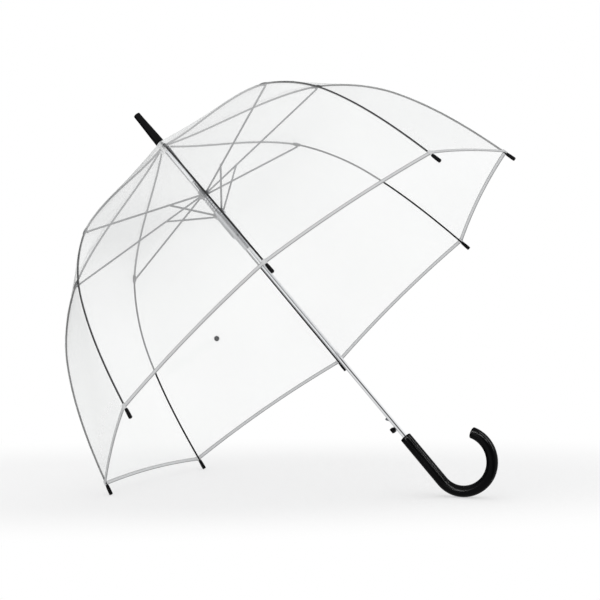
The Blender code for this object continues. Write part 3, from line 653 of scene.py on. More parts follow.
down = Vector((0, 0, -1))
grip_ring(Vector((0, 0, -SHAFT_END - 0.0010)), down, BORE)
grip_ring(Vector((0, 0, -HANDLE_TOP - 0.0006)), down, BORE)
grip_ring(Vector((0, 0, -HANDLE_TOP)), down, BORE + 0.0006)
EDGE = 0.0016
for a in (0, 18, 36, 54, 72):
    grip_ring(
        Vector((0, 0, -HANDLE_TOP - EDGE * (1 - math.cos(math.radians(a))))), down,
        HANDLE_R - EDGE + EDGE * math.sin(math.radians(a)),
    )
for i, point in enumerate(path):
    if point.z > -HANDLE_TOP - EDGE:
        continue
    before, after = path[max(i - 1, 0)], path[min(i + 1, len(path) - 1)]
    if i == len(path) - 1:
        continue
    grip_ring(point, (after - before).normalized(), HANDLE_R)
last_along = (path[-1] - path[-2]).normalized()
for a in (0, 15, 30, 45, 60, 75, 90):
    s = math.radians(a)
    grip_ring(path[-1] - last_along * 0.0007 + last_along * 0.0019 * math.sin(s), last_along, HANDLE_R - 0.0026 * (1 - math.cos(s)))
tail = len(verts)
verts.append(tuple(path[-1] + last_along * 0.00145))
for one, two in zip(rings, rings[1:]):
    for k in range(sides):
        n = (k + 1) % sides
        faces.append((one[k], one[n], two[n], two[k]))
faces.append(tuple(rings[0]))
for k in range(sides):
    faces.append((rings[-1][k], rings[-1][(k + 1) % sides], tail))
handle = piece("crook_handle_finish", verts, faces, GLOSS, 50)
place_on(handle, "root", "handle", slot="handle_plastic")

# ------------------------------------------------------------ hub, runner, spring
hub_top, hub_low = HUB_PIVOT[1] - 0.0095, HUB_PIVOT[1] + 0.0072
d = HUB_PIVOT[1]
hub_profile = [
    (BORE, hub_top), (0.0055, hub_top), (0.0058, d - 0.0040), (0.0084, d - 0.0036), (0.0084, d + 0.0036),
    (0.0062, d + 0.0040), (0.0062, hub_low), (BORE, hub_low),
]
hub = piece(
    "upper_hub_finish",
    *revolve(fillet(hub_profile, [0, 0.0005, 0.0005, 0.0005, 0.0005, 0.0003, 0.0004, 0], 3, closed=True), 64), GREY,
)
slots = [
    moved(block((0.0059, LINK_SIDE - 0.0016, -0.0039 - d), (0.0150, LINK_SIDE + 0.0016, 0.0100 - d)), turn_z(k))
    for k in range(RIBS)
]
carve(hub, joined(slots))
place_on(hub, "hub", "upper_hub", slot="grey_plastic")
place_on(piece("hub_wire_ring", *ring(0.0080, d + 0.0002, 0.0005), BRIGHT, 180), "hub")

base, seat = RUNNER_PIVOT[1], RUNNER_BODY_END - 0.0070
runner_profile = [
    (0.0068, base - 0.0054), (0.0086, base - 0.0054), (0.0108, base - 0.0044), (0.0108, base + 0.0046),
    (0.0088, base + 0.0062), (0.0088, RUNNER_BODY_END - 0.0040), (0.0066, RUNNER_BODY_END),
    (0.0062, RUNNER_SLEEVE_END), (BORE, RUNNER_SLEEVE_END), (BORE, seat), (0.0068, seat),
]
runner = piece(
    "runner_finish",
    *revolve(
        fillet(runner_profile, [0, 0.0005, 0.0005, 0.0008, 0.0010, 0.0020, 0.0006, 0.0008, 0, 0, 0], 4, closed=True), 72
    ),
    RUNNER_LOOK,
)
slots = [moved(block((0.0075, -0.0016, -0.0050 - base), (0.0150, 0.0016, 0.0100 - base)), turn_z(k)) for k in range(RIBS)]
window = CATCH_NOSE[0] - TRAVEL
slots.append(block((0.0020, -0.0019, -(window + CATCH_NOSE[1] - CATCH_NOSE[0] + 0.0012)), (0.0090, 0.0019, -(window - 0.0012))))
carve(runner, joined(slots))
place_on(runner, "runner", "runner", slot="grey_plastic")
place_on(piece("runner_wire_ring", *ring(RUNNER_PIVOT[0] + 0.0004, base, 0.0005), BRIGHT, 180), "runner")

spring_low, spring_high = seat - 0.0005 - SPRING_WIRE_R, hub_low + 0.0005 + SPRING_WIRE_R
coil, steps = [], SPRING_TURNS * 36
for k in range(steps + 1):
    t = k / steps
    a = 2 * math.pi * SPRING_TURNS * t
    eased = t - 0.022 * math.sin(2 * math.pi * t)
    coil.append((SPRING_R * math.cos(a), SPRING_R * math.sin(a), -(spring_low + (spring_high - spring_low) * eased)))
spring = piece("opening_spring_finish", *tube(coil, circle(SPRING_WIRE_R, 8)), SPRING_STEEL, 80)
place_on(spring, "runner", "opening_spring", slot="spring_steel")
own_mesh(spring)

# ------------------------------------------------------------ button and catch
s = BUTTON_SIZE / 2
button = piece("release_button_finish", *block((BUTTON_LOW, -s, -BUTTON_DEPTH - s), (BUTTON_HIGH, s, -BUTTON_DEPTH + s)), BLACK)
stem = block((0.0029, -0.0011, -BUTTON_DEPTH - 0.0022), (BUTTON_LOW + 0.0004, 0.0011, -BUTTON_DEPTH + 0.0022))
bm = bmesh.new()
bm.from_mesh(button.data)
bmesh.ops.bevel(bm, geom=bm.edges[:] + bm.verts[:], offset=0.0010, segments=4, profile=0.6, affect="EDGES")
extra = [bm.verts.new(M @ Vector(v)) for v in stem[0]]
for f in stem[1]:
    bm.faces.new([extra[i] for i in f])
bmesh.ops.recalc_face_normals(bm, faces=bm.faces)
bm.to_mesh(button.data)
bm.free()
button.data.shade_smooth()
button.data.set_sharp_from_angle(angle=math.radians(40))
place_on(button, "button", "release_button", slot="black_plastic")

catch = NODES["runner_catch"]
catch.data.materials.clear()
catch.data.materials.append(LINK)


# ------------------------------------------------------------ ribs
def rod(k, start, end, radius, eye_start=False):
    """A round rod along rib k between two arc lengths, with rounded ends."""
    count = max(8, int((end - start) / 0.005))
    runs = np.linspace(start, end, count)
    path = [rib_point(k, along_rib(r)) for r in runs]
    first, last = (path[1] - path[0]).normalized(), (path[-1] - path[-2]).normalized()
    scale = [1.0] * len(path)
    for extra, at_start in ((0.35, True), (0.75, True), (1.0, True), (0.35, False), (0.75, False), (1.0, False)):
        shrink = math.sqrt(max(0.0, 1 - extra**2)) if extra < 1 else 0.05
        if at_start:
            path.insert(0, path[0 if scale[0] == 1.0 else 0] - first * radius * 0.33)
            scale.insert(0, shrink)
        else:
            path.append(path[-1] + last * radius * 0.33)
            scale.append(shrink)
    across = turn_z(k) @ Vector((0, 1, 0))
    return tube(path, circle(radius, 14), across=across, scale=scale)


MIDDLE = (ENDS[1] + ENDS[2]) / 2
for k, letter in enumerate(LETTERS):
    one = piece(f"rib_rod_{letter}_inner", *rod(k, 0.0, MIDDLE + 0.004, RIB_R), BLACK_ROD, 70)
    two = piece(f"rib_rod_{letter}_outer", *rod(k, MIDDLE - 0.002, ENDS[3] + 0.003, RIB_R * 0.985), BLACK_ROD, 70)
    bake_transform(one)
    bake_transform(two)
    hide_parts(f"rib_upper_{letter}", f"rib_middle_{letter}")
    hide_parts(f"rib_lower_{letter}")

tip_profile = fillet(
    [
        (0.0, 0.0003), (0.0020, 0.0), (0.0026, 0.0005), (0.0030, 0.0030), (TIP_R - 0.0001, 0.0080), (TIP_R, TIP_LENGTH - 0.0020),
        (TIP_R - 0.0002, TIP_LENGTH - 0.0007), (TIP_R - 0.0009, TIP_LENGTH), (0.0, TIP_LENGTH),
    ],
    [0, 0.0003, 0.0003, 0.002, 0.004, 0.001, 0.0005, 0.0004, 0], 3,
)
tip_part = moved(revolve(tip_profile, 28, closed=False), Matrix.Rotation(-math.radians(90.0 - SLOPE_RIM), 4, "Y"))
tip_start = np.array(RIM) + unit(SLOPE_RIM) * 0.0004
for k, letter in enumerate(LETTERS):
    at = turn_z(k) @ Matrix.Translation((tip_start[0], 0, -tip_start[1]))
    place_on(piece(f"rib_tip_{letter}_finish", *moved(tip_part, at), BLACK), f"lower_{letter}", f"rib_tip_{letter}", slot="black_plastic")


# ------------------------------------------------------------ stretchers and struts
def stadium(reach, over, half, steps=8):
    """Outline of a long plate with round ends, in (along, height)."""
    points = []
    for k in range(steps + 1):
        a = -math.pi / 2 + math.pi * k / steps
        points.append((reach + over - half + half * math.cos(a), half * math.sin(a)))
    for k in range(steps + 1):
        a = math.pi / 2 + math.pi * k / steps
        points.append((-over + half + half * math.cos(a), half * math.sin(a)))
    return points


def plate(outline, y0, y1):
    n = len(outline)
    verts = [(x, y0, z) for x, z in outline] + [(x, y1, z) for x, z in outline]
    faces = [tuple(range(n)), tuple(range(n, 2 * n))]
    faces += [(i, (i + 1) % n, n + (i + 1) % n, n + i) for i in range(n)]
    return verts, faces


def link_part(p, q, over=0.0016, wall=0.0005):
    """A pressed channel from p to q: two cheeks with round eyes and a web between."""
    reach = math.hypot(q[0] - p[0], q[1] - p[1])
    half = LINK_W / 2
    outline = stadium(reach, over, half)
    web = [(0.0045, half - wall), (reach - 0.0045, half - wall), (reach - 0.0045, half - 0.00002), (0.0045, half - 0.00002)]
    part = joined([plate(outline, -half, -half + wall), plate(outline, half - wall, half), plate(web, -half + wall * 0.5, half - wall * 0.5)])
    slope = Matrix.Rotation(math.radians(chord_deg(p, q)), 4, "Y")
    return moved(part, Matrix.Translation((p[0], 0, -p[1])) @ slope)


def rivet(at, y0, y1, radius=0.00075, head=0.00125):
    """A pin along the hinge axis with a domed head at each end."""
    rise = 0.0005
    profile = [(0.0, y0 - rise), (head * 0.6, y0 - rise * 0.82), (head, y0 - rise * 0.25), (head, y0), (radius, y0),
               (radius, y1), (head, y1), (head, y1 + rise * 0.25), (head * 0.6, y1 + rise * 0.82), (0.0, y1 + rise)]
    part = revolve(profile, 16, closed=False)
    lie = Matrix.Rotation(math.radians(90), 4, "X")
    return moved(part, Matrix.Translation((at[0], 0, -at[1])) @ lie)


stretcher_part = moved(link_part(HUB_PIVOT, CLIP), Matrix.Translation((0, LINK_SIDE, 0)))
strut_part = link_part(RUNNER_PIVOT, KNEE)
half = LINK_W / 2
knee_pin = rivet(KNEE, -half - 0.0001, LINK_SIDE + half + 0.0001)
clip_pin = rivet(CLIP, 0.0004, LINK_SIDE + half + 0.0001)
for k, letter in enumerate(LETTERS):
    at = turn_z(k)
    place_on(piece(f"stretcher_{letter}_finish", *moved(stretcher_part, at), LINK, 35), f"stretcher_{letter}", f"stretcher_{letter}", slot="link_steel")
    place_on(piece(f"strut_{letter}_finish", *moved(strut_part, at), LINK, 35), f"strut_{letter}", f"strut_{letter}", slot="link_steel")
    place_on(piece(f"knee_rivet_{letter}", *moved(knee_pin, at), BRIGHT), f"stretcher_{letter}")


# The clip holds the rib in a short sleeve and carries the stretcher on a lug.
def clip_part():
    here = ENDS[1]
    runs = np.linspace(here - 0.0075, here + 0.0065, 9)
    path = [Vector((*along_rib(r), 0)) for r in runs]
    path = [Vector((p.x, 0, -p.y)) for p in path]
    outline = []
    for s, t in circle(1.0, 20):
        e = 0.62
        outline.append((math.copysign(abs(s) ** e, s) * 0.0026, math.copysign(abs(t) ** e, t) * 0.0024))
    scale = [0.86, 0.97] + [1.0] * 5 + [0.97, 0.86]
    sleeve = tube(path, outline, across=(0, 1, 0), scale=scale)
    foot = along_rib(here)
    reach = CLIP_DROP
    lug = stadium(reach, 0.0020, 0.0020, 8)
    shape = plate(lug, 0.0005, 0.0017)
    slope = math.degrees(math.atan2(CLIP[1] - foot[1], CLIP[0] - foot[0]))
    tilt = Matrix.Translation((foot[0], 0, -foot[1])) @ Matrix.Rotation(math.radians(slope), 4, "Y")
    return joined([sleeve, moved(shape, tilt)])


CLIP_PART = clip_part()
for k, letter in enumerate(LETTERS):
    clip = piece(f"rib_clip_{letter}", *moved(CLIP_PART, turn_z(k)), DARK_GREY, 35)
    place_on(clip, f"upper_{letter}", slot="grey_plastic")
    place_on(piece(f"clip_rivet_{letter}", *moved(clip_pin, turn_z(k)), BRIGHT), f"upper_{letter}")

# ------------------------------------------------------------ canopy film
ROW_STEP, COLUMNS = 0.0075, 12
SEGMENTS = ("upper", "middle", "lower")
ROW_RUNS = []
for i in range(3):
    count = int(round((ENDS[i + 1] - ENDS[i]) / ROW_STEP))
    ROW_RUNS.append(np.linspace(ENDS[i], ENDS[i + 1], count + 1))


def film_profile(run, out=FILM_OUT):
    """The film's side-view point over a rib at an arc length."""
    return along_rib(run) + outward(run) * out


TOP_SLOPE = film_profile(0.012) - film_profile(0.0)
TOP_SLOPE = TOP_SLOPE / np.linalg.norm(TOP_SLOPE)
TOP = film_profile(0.0)
TOP = TOP - TOP_SLOPE * (TOP[0] - FILM_HOLE_R) / TOP_SLOPE[0]
TOP_RUN = -float(np.linalg.norm(TOP - film_profile(0.0)))
ROW_RUNS[0] = np.r_[TOP_RUN, TOP_RUN / 2, ROW_RUNS[0]]
HEM_DIR = film_profile(ENDS[3]) - film_profile(ENDS[3] - 0.03)
HEM_DIR = HEM_DIR / np.linalg.norm(HEM_DIR)


def film_side(run):
    if run < 0:
        return film_profile(0.0) + TOP_SLOPE * run
    if run > ENDS[3]:
        return film_profile(ENDS[3]) + HEM_DIR * (run - ENDS[3])
    return film_profile(run)


def smoothstep(x):
    x = min(max(x, 0.0), 1.0)
    return x * x * (3 - 2 * x)


def film_at(gore, share, run):
    """A point of the film: gore k lies between ribs k and k + 1, and share goes
    from one to the other.  The film is straight across, pulled in a little by
    its tension, gathered into small puckers along the welds, and cut up at the hem."""
    radius, depth = film_side(run)
    skirt_part = (run - ENDS[2]) / (ENDS[3] - ENDS[2])
    cut_up = 4 * share * (1 - share) * FILM_SAG * max(0.0, (skirt_part - 1 / 6) / (5 / 6)) ** 2
    radius, depth = radius - HEM_DIR[0] * cut_up, depth - HEM_DIR[1] * cut_up
    a, b = rib_angle(gore), rib_angle(gore + 1)
    x = radius * ((1 - share) * math.cos(a) + share * math.cos(b))
    y = radius * ((1 - share) * math.sin(a) + share * math.sin(b))
    point = Vector((x, y, -depth))
    mid = (a + b) / 2
    run_in = min(max(run, 0.0), ENDS[3])
    slope = outward(run_in)
    normal = Vector((slope[0] * math.cos(mid), slope[0] * math.sin(mid), -slope[1]))
    width = radius * 2 * math.sin(math.pi / RIBS)
    edge = min(share, 1 - share) * width / 0.014
    calm = smoothstep((ENDS[3] - run) / 0.05) * smoothstep(run / 0.05)
    pucker = 0.00042 * edge * math.exp(1 - edge) * math.sin(run / 0.0085 + 1.7 * gore + (2.1 if share > 0.5 else 0.0) * 0)
    across = 4 * share * (1 - share)
    wave = 0.0009 * across**2 * math.sin(run / 0.046 + 2.3 * gore)
    tension = -0.0022 * across * smoothstep(run / 0.20) * smoothstep((ENDS[3] - run) / 0.16)
    return point + normal * ((pucker + wave) * calm + tension)


def film_normal(gore, share, run):
    e, r = 0.004, 0.002
    s0, s1 = max(0.0, share - e), min(1.0, share + e)
    du = film_at(gore, s1, run) - film_at(gore, s0, run)
    dv = film_at(gore, share, run + r) - film_at(gore, share, run - r)
    n = du.cross(dv).normalized()
    mid = (rib_angle(gore) + rib_angle(gore + 1)) / 2
    out = Vector((math.cos(mid), math.sin(mid), 0.6))
    return n if n.dot(out) > 0 else -n


STEPS_IN = (0.0, 0.0018, 0.0038, 0.0060, 0.0088, 0.0130)      # columns close to the weld, in metres


def film_panel(name, gore, low, high, runs):
    """Half a gore between two arc lengths, from a rib's weld to the gore's middle."""
    verts, normals, near = [], [], []
    for r in runs:
        width = film_side(r)[0] * 2 * math.sin(math.pi / RIBS)
        first = min(STEPS_IN[-1] / width, 0.25)
        shares = [first * t / STEPS_IN[-1] for t in STEPS_IN]
        shares += list(np.linspace(first, 0.5, COLUMNS + 1)[1:])
        for share in shares:
            s = low + (high - low) * share * 2
            verts.append(M @ film_at(gore, s, r))
            normals.append(M.to_3x3() @ film_normal(gore, s, r))
            near.append(math.exp(-((share * width / 0.0058) ** 2)))
    per = len(STEPS_IN) + COLUMNS
    faces = []
    for i in range(len(runs) - 1):
        for j in range(per - 1):
            quad = (i * per + j, i * per + j + 1, (i + 1) * per + j + 1, (i + 1) * per + j)
            faces.append(quad)
    mesh = bpy.data.meshes.new(name)
    first = (Vector(verts[faces[0][1]]) - Vector(verts[faces[0][0]])).cross(Vector(verts[faces[0][3]]) - Vector(verts[faces[0][0]]))
    if first.dot(normals[faces[0][0]]) < 0:
        faces = [tuple(reversed(f)) for f in faces]
    mesh.from_pydata([tuple(v) for v in verts], [], faces)
    mesh.shade_smooth()
    mesh.normals_split_custom_set_from_vertices([tuple(n) for n in normals])
    mesh.attributes.new("near_weld", "FLOAT", "POINT").data.foreach_set("value", near)
    mesh.materials.append(FILM)
    obj = bpy.data.objects.new(name, mesh)
    bpy.context.scene.collection.objects.link(obj)
    return obj


def panel_cut(runs):
    """(width, length, area) of the flat half gore between two arc lengths."""
    wide = [film_side(r)[0] * math.sin(math.pi / RIBS) for r in runs]
    length = sum(np.linalg.norm(film_side(b) - film_side(a)) for a, b in zip(runs, runs[1:]))
    area = sum(
        (wide[i] + wide[i + 1]) / 2 * np.linalg.norm(film_side(runs[i + 1]) - film_side(runs[i])) for i in range(len(runs) - 1)
    )
    return float(max(wide)), float(length), float(area)


# Settings for folding each half gore in towards its own rib as the umbrella closes, a little aslant so that the fold at
# the gore's middle would stay clear of the shaft; they are not applied to the film here.
FOLD = {"upper": (0.0, 0.150, 0.075), "middle": (5.0, 0.300, 0.050), "lower": (8.0, 0.400, 0.035)}


def fold(k, hand, segment):
    """Squash settings for one half of a gore: axis, anchor and the share kept."""
    lean, radius, keep = FOLD[segment]
    turn = 1 if hand == "l" else -1
    a = rib_angle(k)
    out, round_ = Vector((math.cos(a), math.sin(a), 0)), Vector((-math.sin(a), math.cos(a), 0)) * turn
    axis = out * -math.sin(math.radians(lean)) + round_ * math.cos(math.radians(lean))
    return {"axis": direction(axis), "anchor": in_world(out * radius), "keep": keep}


HALVES = (("l", 0, 0.0, 0.5), ("r", -1, 1.0, 0.5))     # towards the next rib, and towards the one before
for k, letter in enumerate(LETTERS):
    for hand, step, start, stop in HALVES:
        gore = (k + step) % RIBS
        hem_runs = ENDS[3]
        # The hem tape folds round the film's edge and is welded along both of its sides.
        section = [
            (-0.0004, 0.0), (-0.0003, 0.0004), (0.0002, 0.00062), (0.0008, 0.00058), (0.0013, 0.00036), (0.0030, 0.0003),
            (0.0048, 0.00036), (0.0053, 0.00056), (0.0058, 0.00052), (0.0061, 0.0002),
            (0.0061, -0.0002), (0.0058, -0.00052), (0.0053, -0.00056), (0.0048, -0.00036), (0.0030, -0.0003),
            (0.0013, -0.00036), (0.0008, -0.00058), (0.0002, -0.00062), (-0.0003, -0.0004),
        ]
        shares = np.linspace(start, stop, 15)
        verts, faces, painted_edge_shade = [], [], []
        for share in shares:
            for back, lift in section:
                p = film_at(gore, share, hem_runs - back)
                n = film_normal(gore, share, hem_runs - max(back, 0.0))
                verts.append(tuple(p + n * lift))
                # Vertices at the tape's two edges are marked to be painted darker: painted shade.
                painted_edge_shade.append(1.0 if back < 0.0010 or back > 0.0052 else 0.0)
        per = len(section)
        for i in range(len(shares) - 1):
            for j in range(per):
                n = (j + 1) % per
                faces.append((i * per + j, i * per + n, (i + 1) * per + n, (i + 1) * per + j))
        faces.append(tuple(range(per)))
        faces.append(tuple(range((len(shares) - 1) * per, len(shares) * per)))
        tape = piece(f"hem_tape_{letter}_{hand}", verts, faces, HEM_TAPE, 60)
        mark = tape.data.attributes.new("edge", "FLOAT", "POINT")
        mark.data.foreach_set("value", painted_edge_shade[: len(tape.data.vertices)])
        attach(tape, f"lower_{letter}")
        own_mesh(tape)

        for i, segment in enumerate(SEGMENTS):
            panel = film_panel(f"film_{segment}_{letter}_{hand}", gore, start, stop, ROW_RUNS[i])
            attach(panel, f"{segment}_{letter}")
            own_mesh(panel)
            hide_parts("canopy")
            width, length, area = panel_cut(ROW_RUNS[i])

    # The weld where two gores meet over the rib: a doubled, slightly milky band.
    for i, segment in enumerate(SEGMENTS):
        runs = ROW_RUNS[i]
        if i == 2:
            runs = np.r_[runs[:-1], ENDS[3] - 0.0060]
        if i == 0:
            runs = runs[5:]
        verts, faces = [], []
        for r in runs:
            width = max(film_side(r)[0] * 2 * math.sin(math.pi / RIBS), 0.006)
            profile = []
            for reach, lift in ((0.0023, -0.00005), (0.0023, 0.00015), (0.0017, 0.00034), (0.0006, 0.00042)):
                profile.append((min(reach / width, 0.4), lift))
            line = []
            for share, lift in profile:
                line.append(film_at(k, share, r) + film_normal(k, share, r) * lift)
            crest = film_side(r)
            slope = outward(min(max(r, 0.0), ENDS[3]))
            line.append(rib_point(k, crest + slope * 0.00050))
            before = (k - 1) % RIBS
            for share, lift in reversed(profile):
                line.append(film_at(before, 1 - share, r) + film_normal(before, 1 - share, r) * lift)
            line.append(rib_point(k, crest - slope * 0.00020))
            verts += [tuple(p) for p in line]
        per = len(profile) * 2 + 2
        for a in range(len(runs) - 1):
            for j in range(per):
                n = (j + 1) % per
                faces.append((a * per + j, a * per + n, (a + 1) * per + n, (a + 1) * per + j))
        faces.append(tuple(range(per)))
        faces.append(tuple(range((len(runs) - 1) * per, len(runs) * per)))
        weld = piece(f"gore_weld_{segment}_{letter}", verts, faces, WELD, 50)
        place_on(weld, f"{segment}_{letter}", slot="clear_film")

    # A folded pocket closes the hem over the rib's end.
    pocket_path = [rib_point(k, film_side(ENDS[3] + r) - outward(ENDS[3]) * 0.0007) for r in (-0.0078, -0.0072, -0.0050, -0.0020, 0.0004, 0.0009)]
    outline = []
    for s, t in circle(1.0, 24):
        outline.append((math.copysign(abs(s) ** 0.7, s) * 0.0040, math.copysign(abs(t) ** 0.8, t) * 0.0017))
    pocket = tube(pocket_path, outline, across=turn_z(k) @ Vector((0, 1, 0)), scale=[0.80, 0.97, 1.0, 1.0, 0.97, 0.82])
    place_on(piece(f"hem_pocket_{letter}", *pocket, HEM_TAPE, 50), f"lower_{letter}")

# ------------------------------------------------------------ tie strap and snap
# The strap lies flat on the outside of gore G-H, from the weld over rib H to its
# snap near the middle of the gore.
GORE, STRAP_END, STRAP_SNAP, STRAP_WIDTH = 6, 0.93, 0.534, 0.016
strap_run = ENDS[2] + (ENDS[3] - ENDS[2]) * 0.259


def strap_point(share, offset, lift):
    return film_at(GORE, share, strap_run + offset) + film_normal(GORE, share, strap_run + offset) * lift


gore_width = film_side(strap_run)[0] * 2 * math.sin(math.pi / RIBS)
outline_strap = []
for share in np.linspace(STRAP_END, STRAP_SNAP, 26):
    outline_strap.append((share, STRAP_WIDTH / 2))
for k in range(1, 12):
    a = math.pi / 2 - math.pi * k / 12
    outline_strap.append((STRAP_SNAP - math.cos(a) * STRAP_WIDTH / 2 / gore_width, math.sin(a) * STRAP_WIDTH / 2))
for share in np.linspace(STRAP_SNAP, STRAP_END, 26):
    outline_strap.append((share, -STRAP_WIDTH / 2))
half_count = 26 + 11 + 26
rows = []
for lift in (0.0007, 0.0011):
    rows.append([strap_point(s, t, lift) for s, t in outline_strap])
verts = [tuple(p) for row in rows for p in row]
n = half_count
faces = []
for offset in (0, n):
    for i in range(25):
        faces.append((offset + i, offset + i + 1, offset + n - 2 - i, offset + n - 1 - i))
    faces.append(tuple(offset + j for j in range(25, 25 + 13)))
for i in range(n):
    m = (i + 1) % n
    faces.append((i, m, n + m, n + i))
strap = piece("tie_strap_finish", verts, faces, STRAP_FILM, 40)
place_on(strap, "lower_h", "tie_strap", slot="clear_film")
strap_fold = fold(7, "r", "lower")
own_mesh(strap)

snap_profile = fillet(
    [
        (0.0, 0.0034), (0.0020, 0.0033), (0.0030, 0.0030), (0.0037, 0.0027), (0.0046, 0.0024), (0.0052, 0.0016), (0.0052, 0.0011),
        (0.0047, 0.0010), (0.0020, 0.0010), (0.0020, -0.0004), (0.0044, -0.0004), (0.0047, -0.0008), (0.0044, -0.0018), (0.0030, -0.0020),
        (0.0026, -0.0014), (0.0, -0.0014),
    ],
    0.0004, 3,
)
part_verts, part_faces = revolve([(r, -d) for r, d in snap_profile], 40, closed=False)
at = film_at(GORE, STRAP_SNAP, strap_run)
normal = film_normal(GORE, STRAP_SNAP, strap_run)
stand = Matrix.Translation(at) @ normal.to_track_quat("Z", "Y").to_matrix().to_4x4()
snap = piece("strap_snap", *moved((part_verts, part_faces), stand), SNAP_METAL, 35)
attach(snap, "lower_h")
# How far the strap's fold would move the snap (the far anchor makes the move nearly even over it); the value is worked
# out but not used.
reach = (in_world(at) - strap_fold["anchor"]).dot(strap_fold["axis"]) * (1 - strap_fold["keep"])
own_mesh(snap)

# ------------------------------------------------------------ floor
floor_part = bmesh.new()
bmesh.ops.create_circle(floor_part, cap_ends=True, radius=14.0, segments=96)
floor_mesh = bpy.data.meshes.new("floor")
floor_part.to_mesh(floor_mesh)
floor_part.free()
floor = bpy.data.objects.new("floor", floor_mesh)
bpy.context.scene.collection.objects.link(floor)
floor.location = (0, 0, -0.0002)
# The floor is a grey diffuse surface, painted a little darker in an oval round the umbrella (painted shade), and it
# fades outwards into an even white glow that meets the backdrop.
ground = Nodes("pale_floor")
flat_right = Vector((right.x, right.y, 0)).normalized()
spread = ground.add("ShaderNodeMapping")
spread.inputs["Rotation"].default_value = (0, 0, -math.atan2(flat_right.y, flat_right.x))
spread.inputs["Scale"].default_value = (1, 1, 1)
ground.link(ground.add("ShaderNodeTexCoord").outputs["Object"], spread.inputs["Vector"])
oval = ground.add("ShaderNodeMapping")
oval.inputs["Scale"].default_value = (1 / 1.25, 1 / 0.60, 1.0)
oval.inputs["Location"].default_value = (0.14, -0.17, 0)
ground.link(spread.outputs["Vector"], oval.inputs["Vector"])
reach_node = ground.add("ShaderNodeVectorMath", operation="LENGTH")
ground.link(oval.outputs["Vector"], reach_node.inputs[0])
shade_oval_to_glow = ground.add("ShaderNodeMapRange", interpolation_type="SMOOTHSTEP")
shade_oval_to_glow.inputs["From Min"].default_value = 0.45
shade_oval_to_glow.inputs["From Max"].default_value = 1.10
shade_oval_to_glow.inputs["To Min"].default_value = 0.46
ground.link(reach_node.outputs["Value"], shade_oval_to_glow.inputs["Value"])
ground.link(
    ground.blend(ground.noise(3.0, 3.0), (0.885, 0.885, 0.888), (0.90, 0.90, 0.902)), ground.shader.inputs["Base Color"]
)
ground.set(Roughness=0.9, Specular_IOR_Level=0.0)
floor_glow = ground.add("ShaderNodeEmission")
floor_glow.inputs["Color"].default_value = (1, 1, 1, 1)
floor_glow.inputs["Strength"].default_value = 1.0
both = ground.add("ShaderNodeMixShader")
ground.link(shade_oval_to_glow.outputs["Result"], both.inputs[0])
ground.link(ground.shader.outputs[0], both.inputs[1])
ground.link(floor_glow.outputs[0], both.inputs[2])
ground.link(both.outputs[0], ground.output.inputs["Surface"])
floor_mesh.materials.append(ground.material)
floor.visible_glossy = False

# ------------------------------------------------------------ studio light
world = bpy.data.worlds.new("studio")
bpy.context.scene.world = world
world.use_nodes = True
tree = world.node_tree
tree.nodes.clear()


def wadd(kind, **values):
    made = tree.nodes.new(kind)
    for key, value in values.items():
        setattr(made, key, value)
    return made


shaft_dir = DOWN
toward = -(forward - shaft_dir * forward.dot(shaft_dir)).normalized()
sideways = shaft_dir.cross(toward).normalized()
if sideways.dot(right + above) < 0:
    sideways = -sideways
where = wadd("ShaderNodeTexCoord")
dots = []
for axis in (sideways, toward):
    product = wadd("ShaderNodeVectorMath", operation="DOT_PRODUCT")
    product.inputs[1].default_value = axis
    tree.links.new(where.outputs["Generated"], product.inputs[0])
    dots.append(product.outputs["Value"])
angle = wadd("ShaderNodeMath", operation="ARCTAN2")
tree.links.new(dots[0], angle.inputs[0])
tree.links.new(dots[1], angle.inputs[1])
scaled = wadd("ShaderNodeMapRange")
scaled.inputs["From Min"].default_value = -math.pi
scaled.inputs["From Max"].default_value = math.pi
tree.links.new(angle.outputs[0], scaled.inputs["Value"])
UPPER_STOPS = (
    (-180, 0.03), (-66, 0.02), (-48, 1.05), (-20, 1.25), (50, 1.20), (74, 0.62), (110, 0.34), (150, 0.50), (180, 0.60),
)
MIDDLE_STOPS = (
    (-180, 0.06), (-80, 0.03), (-60, 1.05), (-24, 1.15), (-6, 0.20), (8, 0.05), (30, 0.10), (48, 0.60), (66, 0.85),
    (120, 0.85), (180, 0.70),
)
LOWER_STOPS = (
    (-180, 0.70), (-120, 0.62), (-60, 0.80), (-26, 0.85), (-4, 0.20), (8, 0.06), (32, 0.10), (50, 0.62), (68, 1.0),
    (120, 1.0), (180, 0.85),
)


def bands(stops):
    ramp = wadd("ShaderNodeValToRGB")
    ramp.color_ramp.interpolation = "EASE"
    while len(ramp.color_ramp.elements) > 1:
        ramp.color_ramp.elements.remove(ramp.color_ramp.elements[-1])
    ramp.color_ramp.elements[0].position = 0.0
    ramp.color_ramp.elements[0].color = (stops[0][1],) * 3 + (1,)
    for degrees, value in stops[1:]:
        element = ramp.color_ramp.elements.new((degrees + 180) / 360)
        element.color = (value,) * 3 + (1,)
    tree.links.new(scaled.outputs["Result"], ramp.inputs["Fac"])
    return ramp.outputs["Color"]


# The room differs a little up and down the shaft.
lengthwise = wadd("ShaderNodeVectorMath", operation="DOT_PRODUCT")
lengthwise.inputs[1].default_value = shaft_dir
tree.links.new(where.outputs["Generated"], lengthwise.inputs[0])


def seen_from_camera(depth):
    return (in_world((0, 0, -depth)) - place.translation).normalized().dot(shaft_dir)


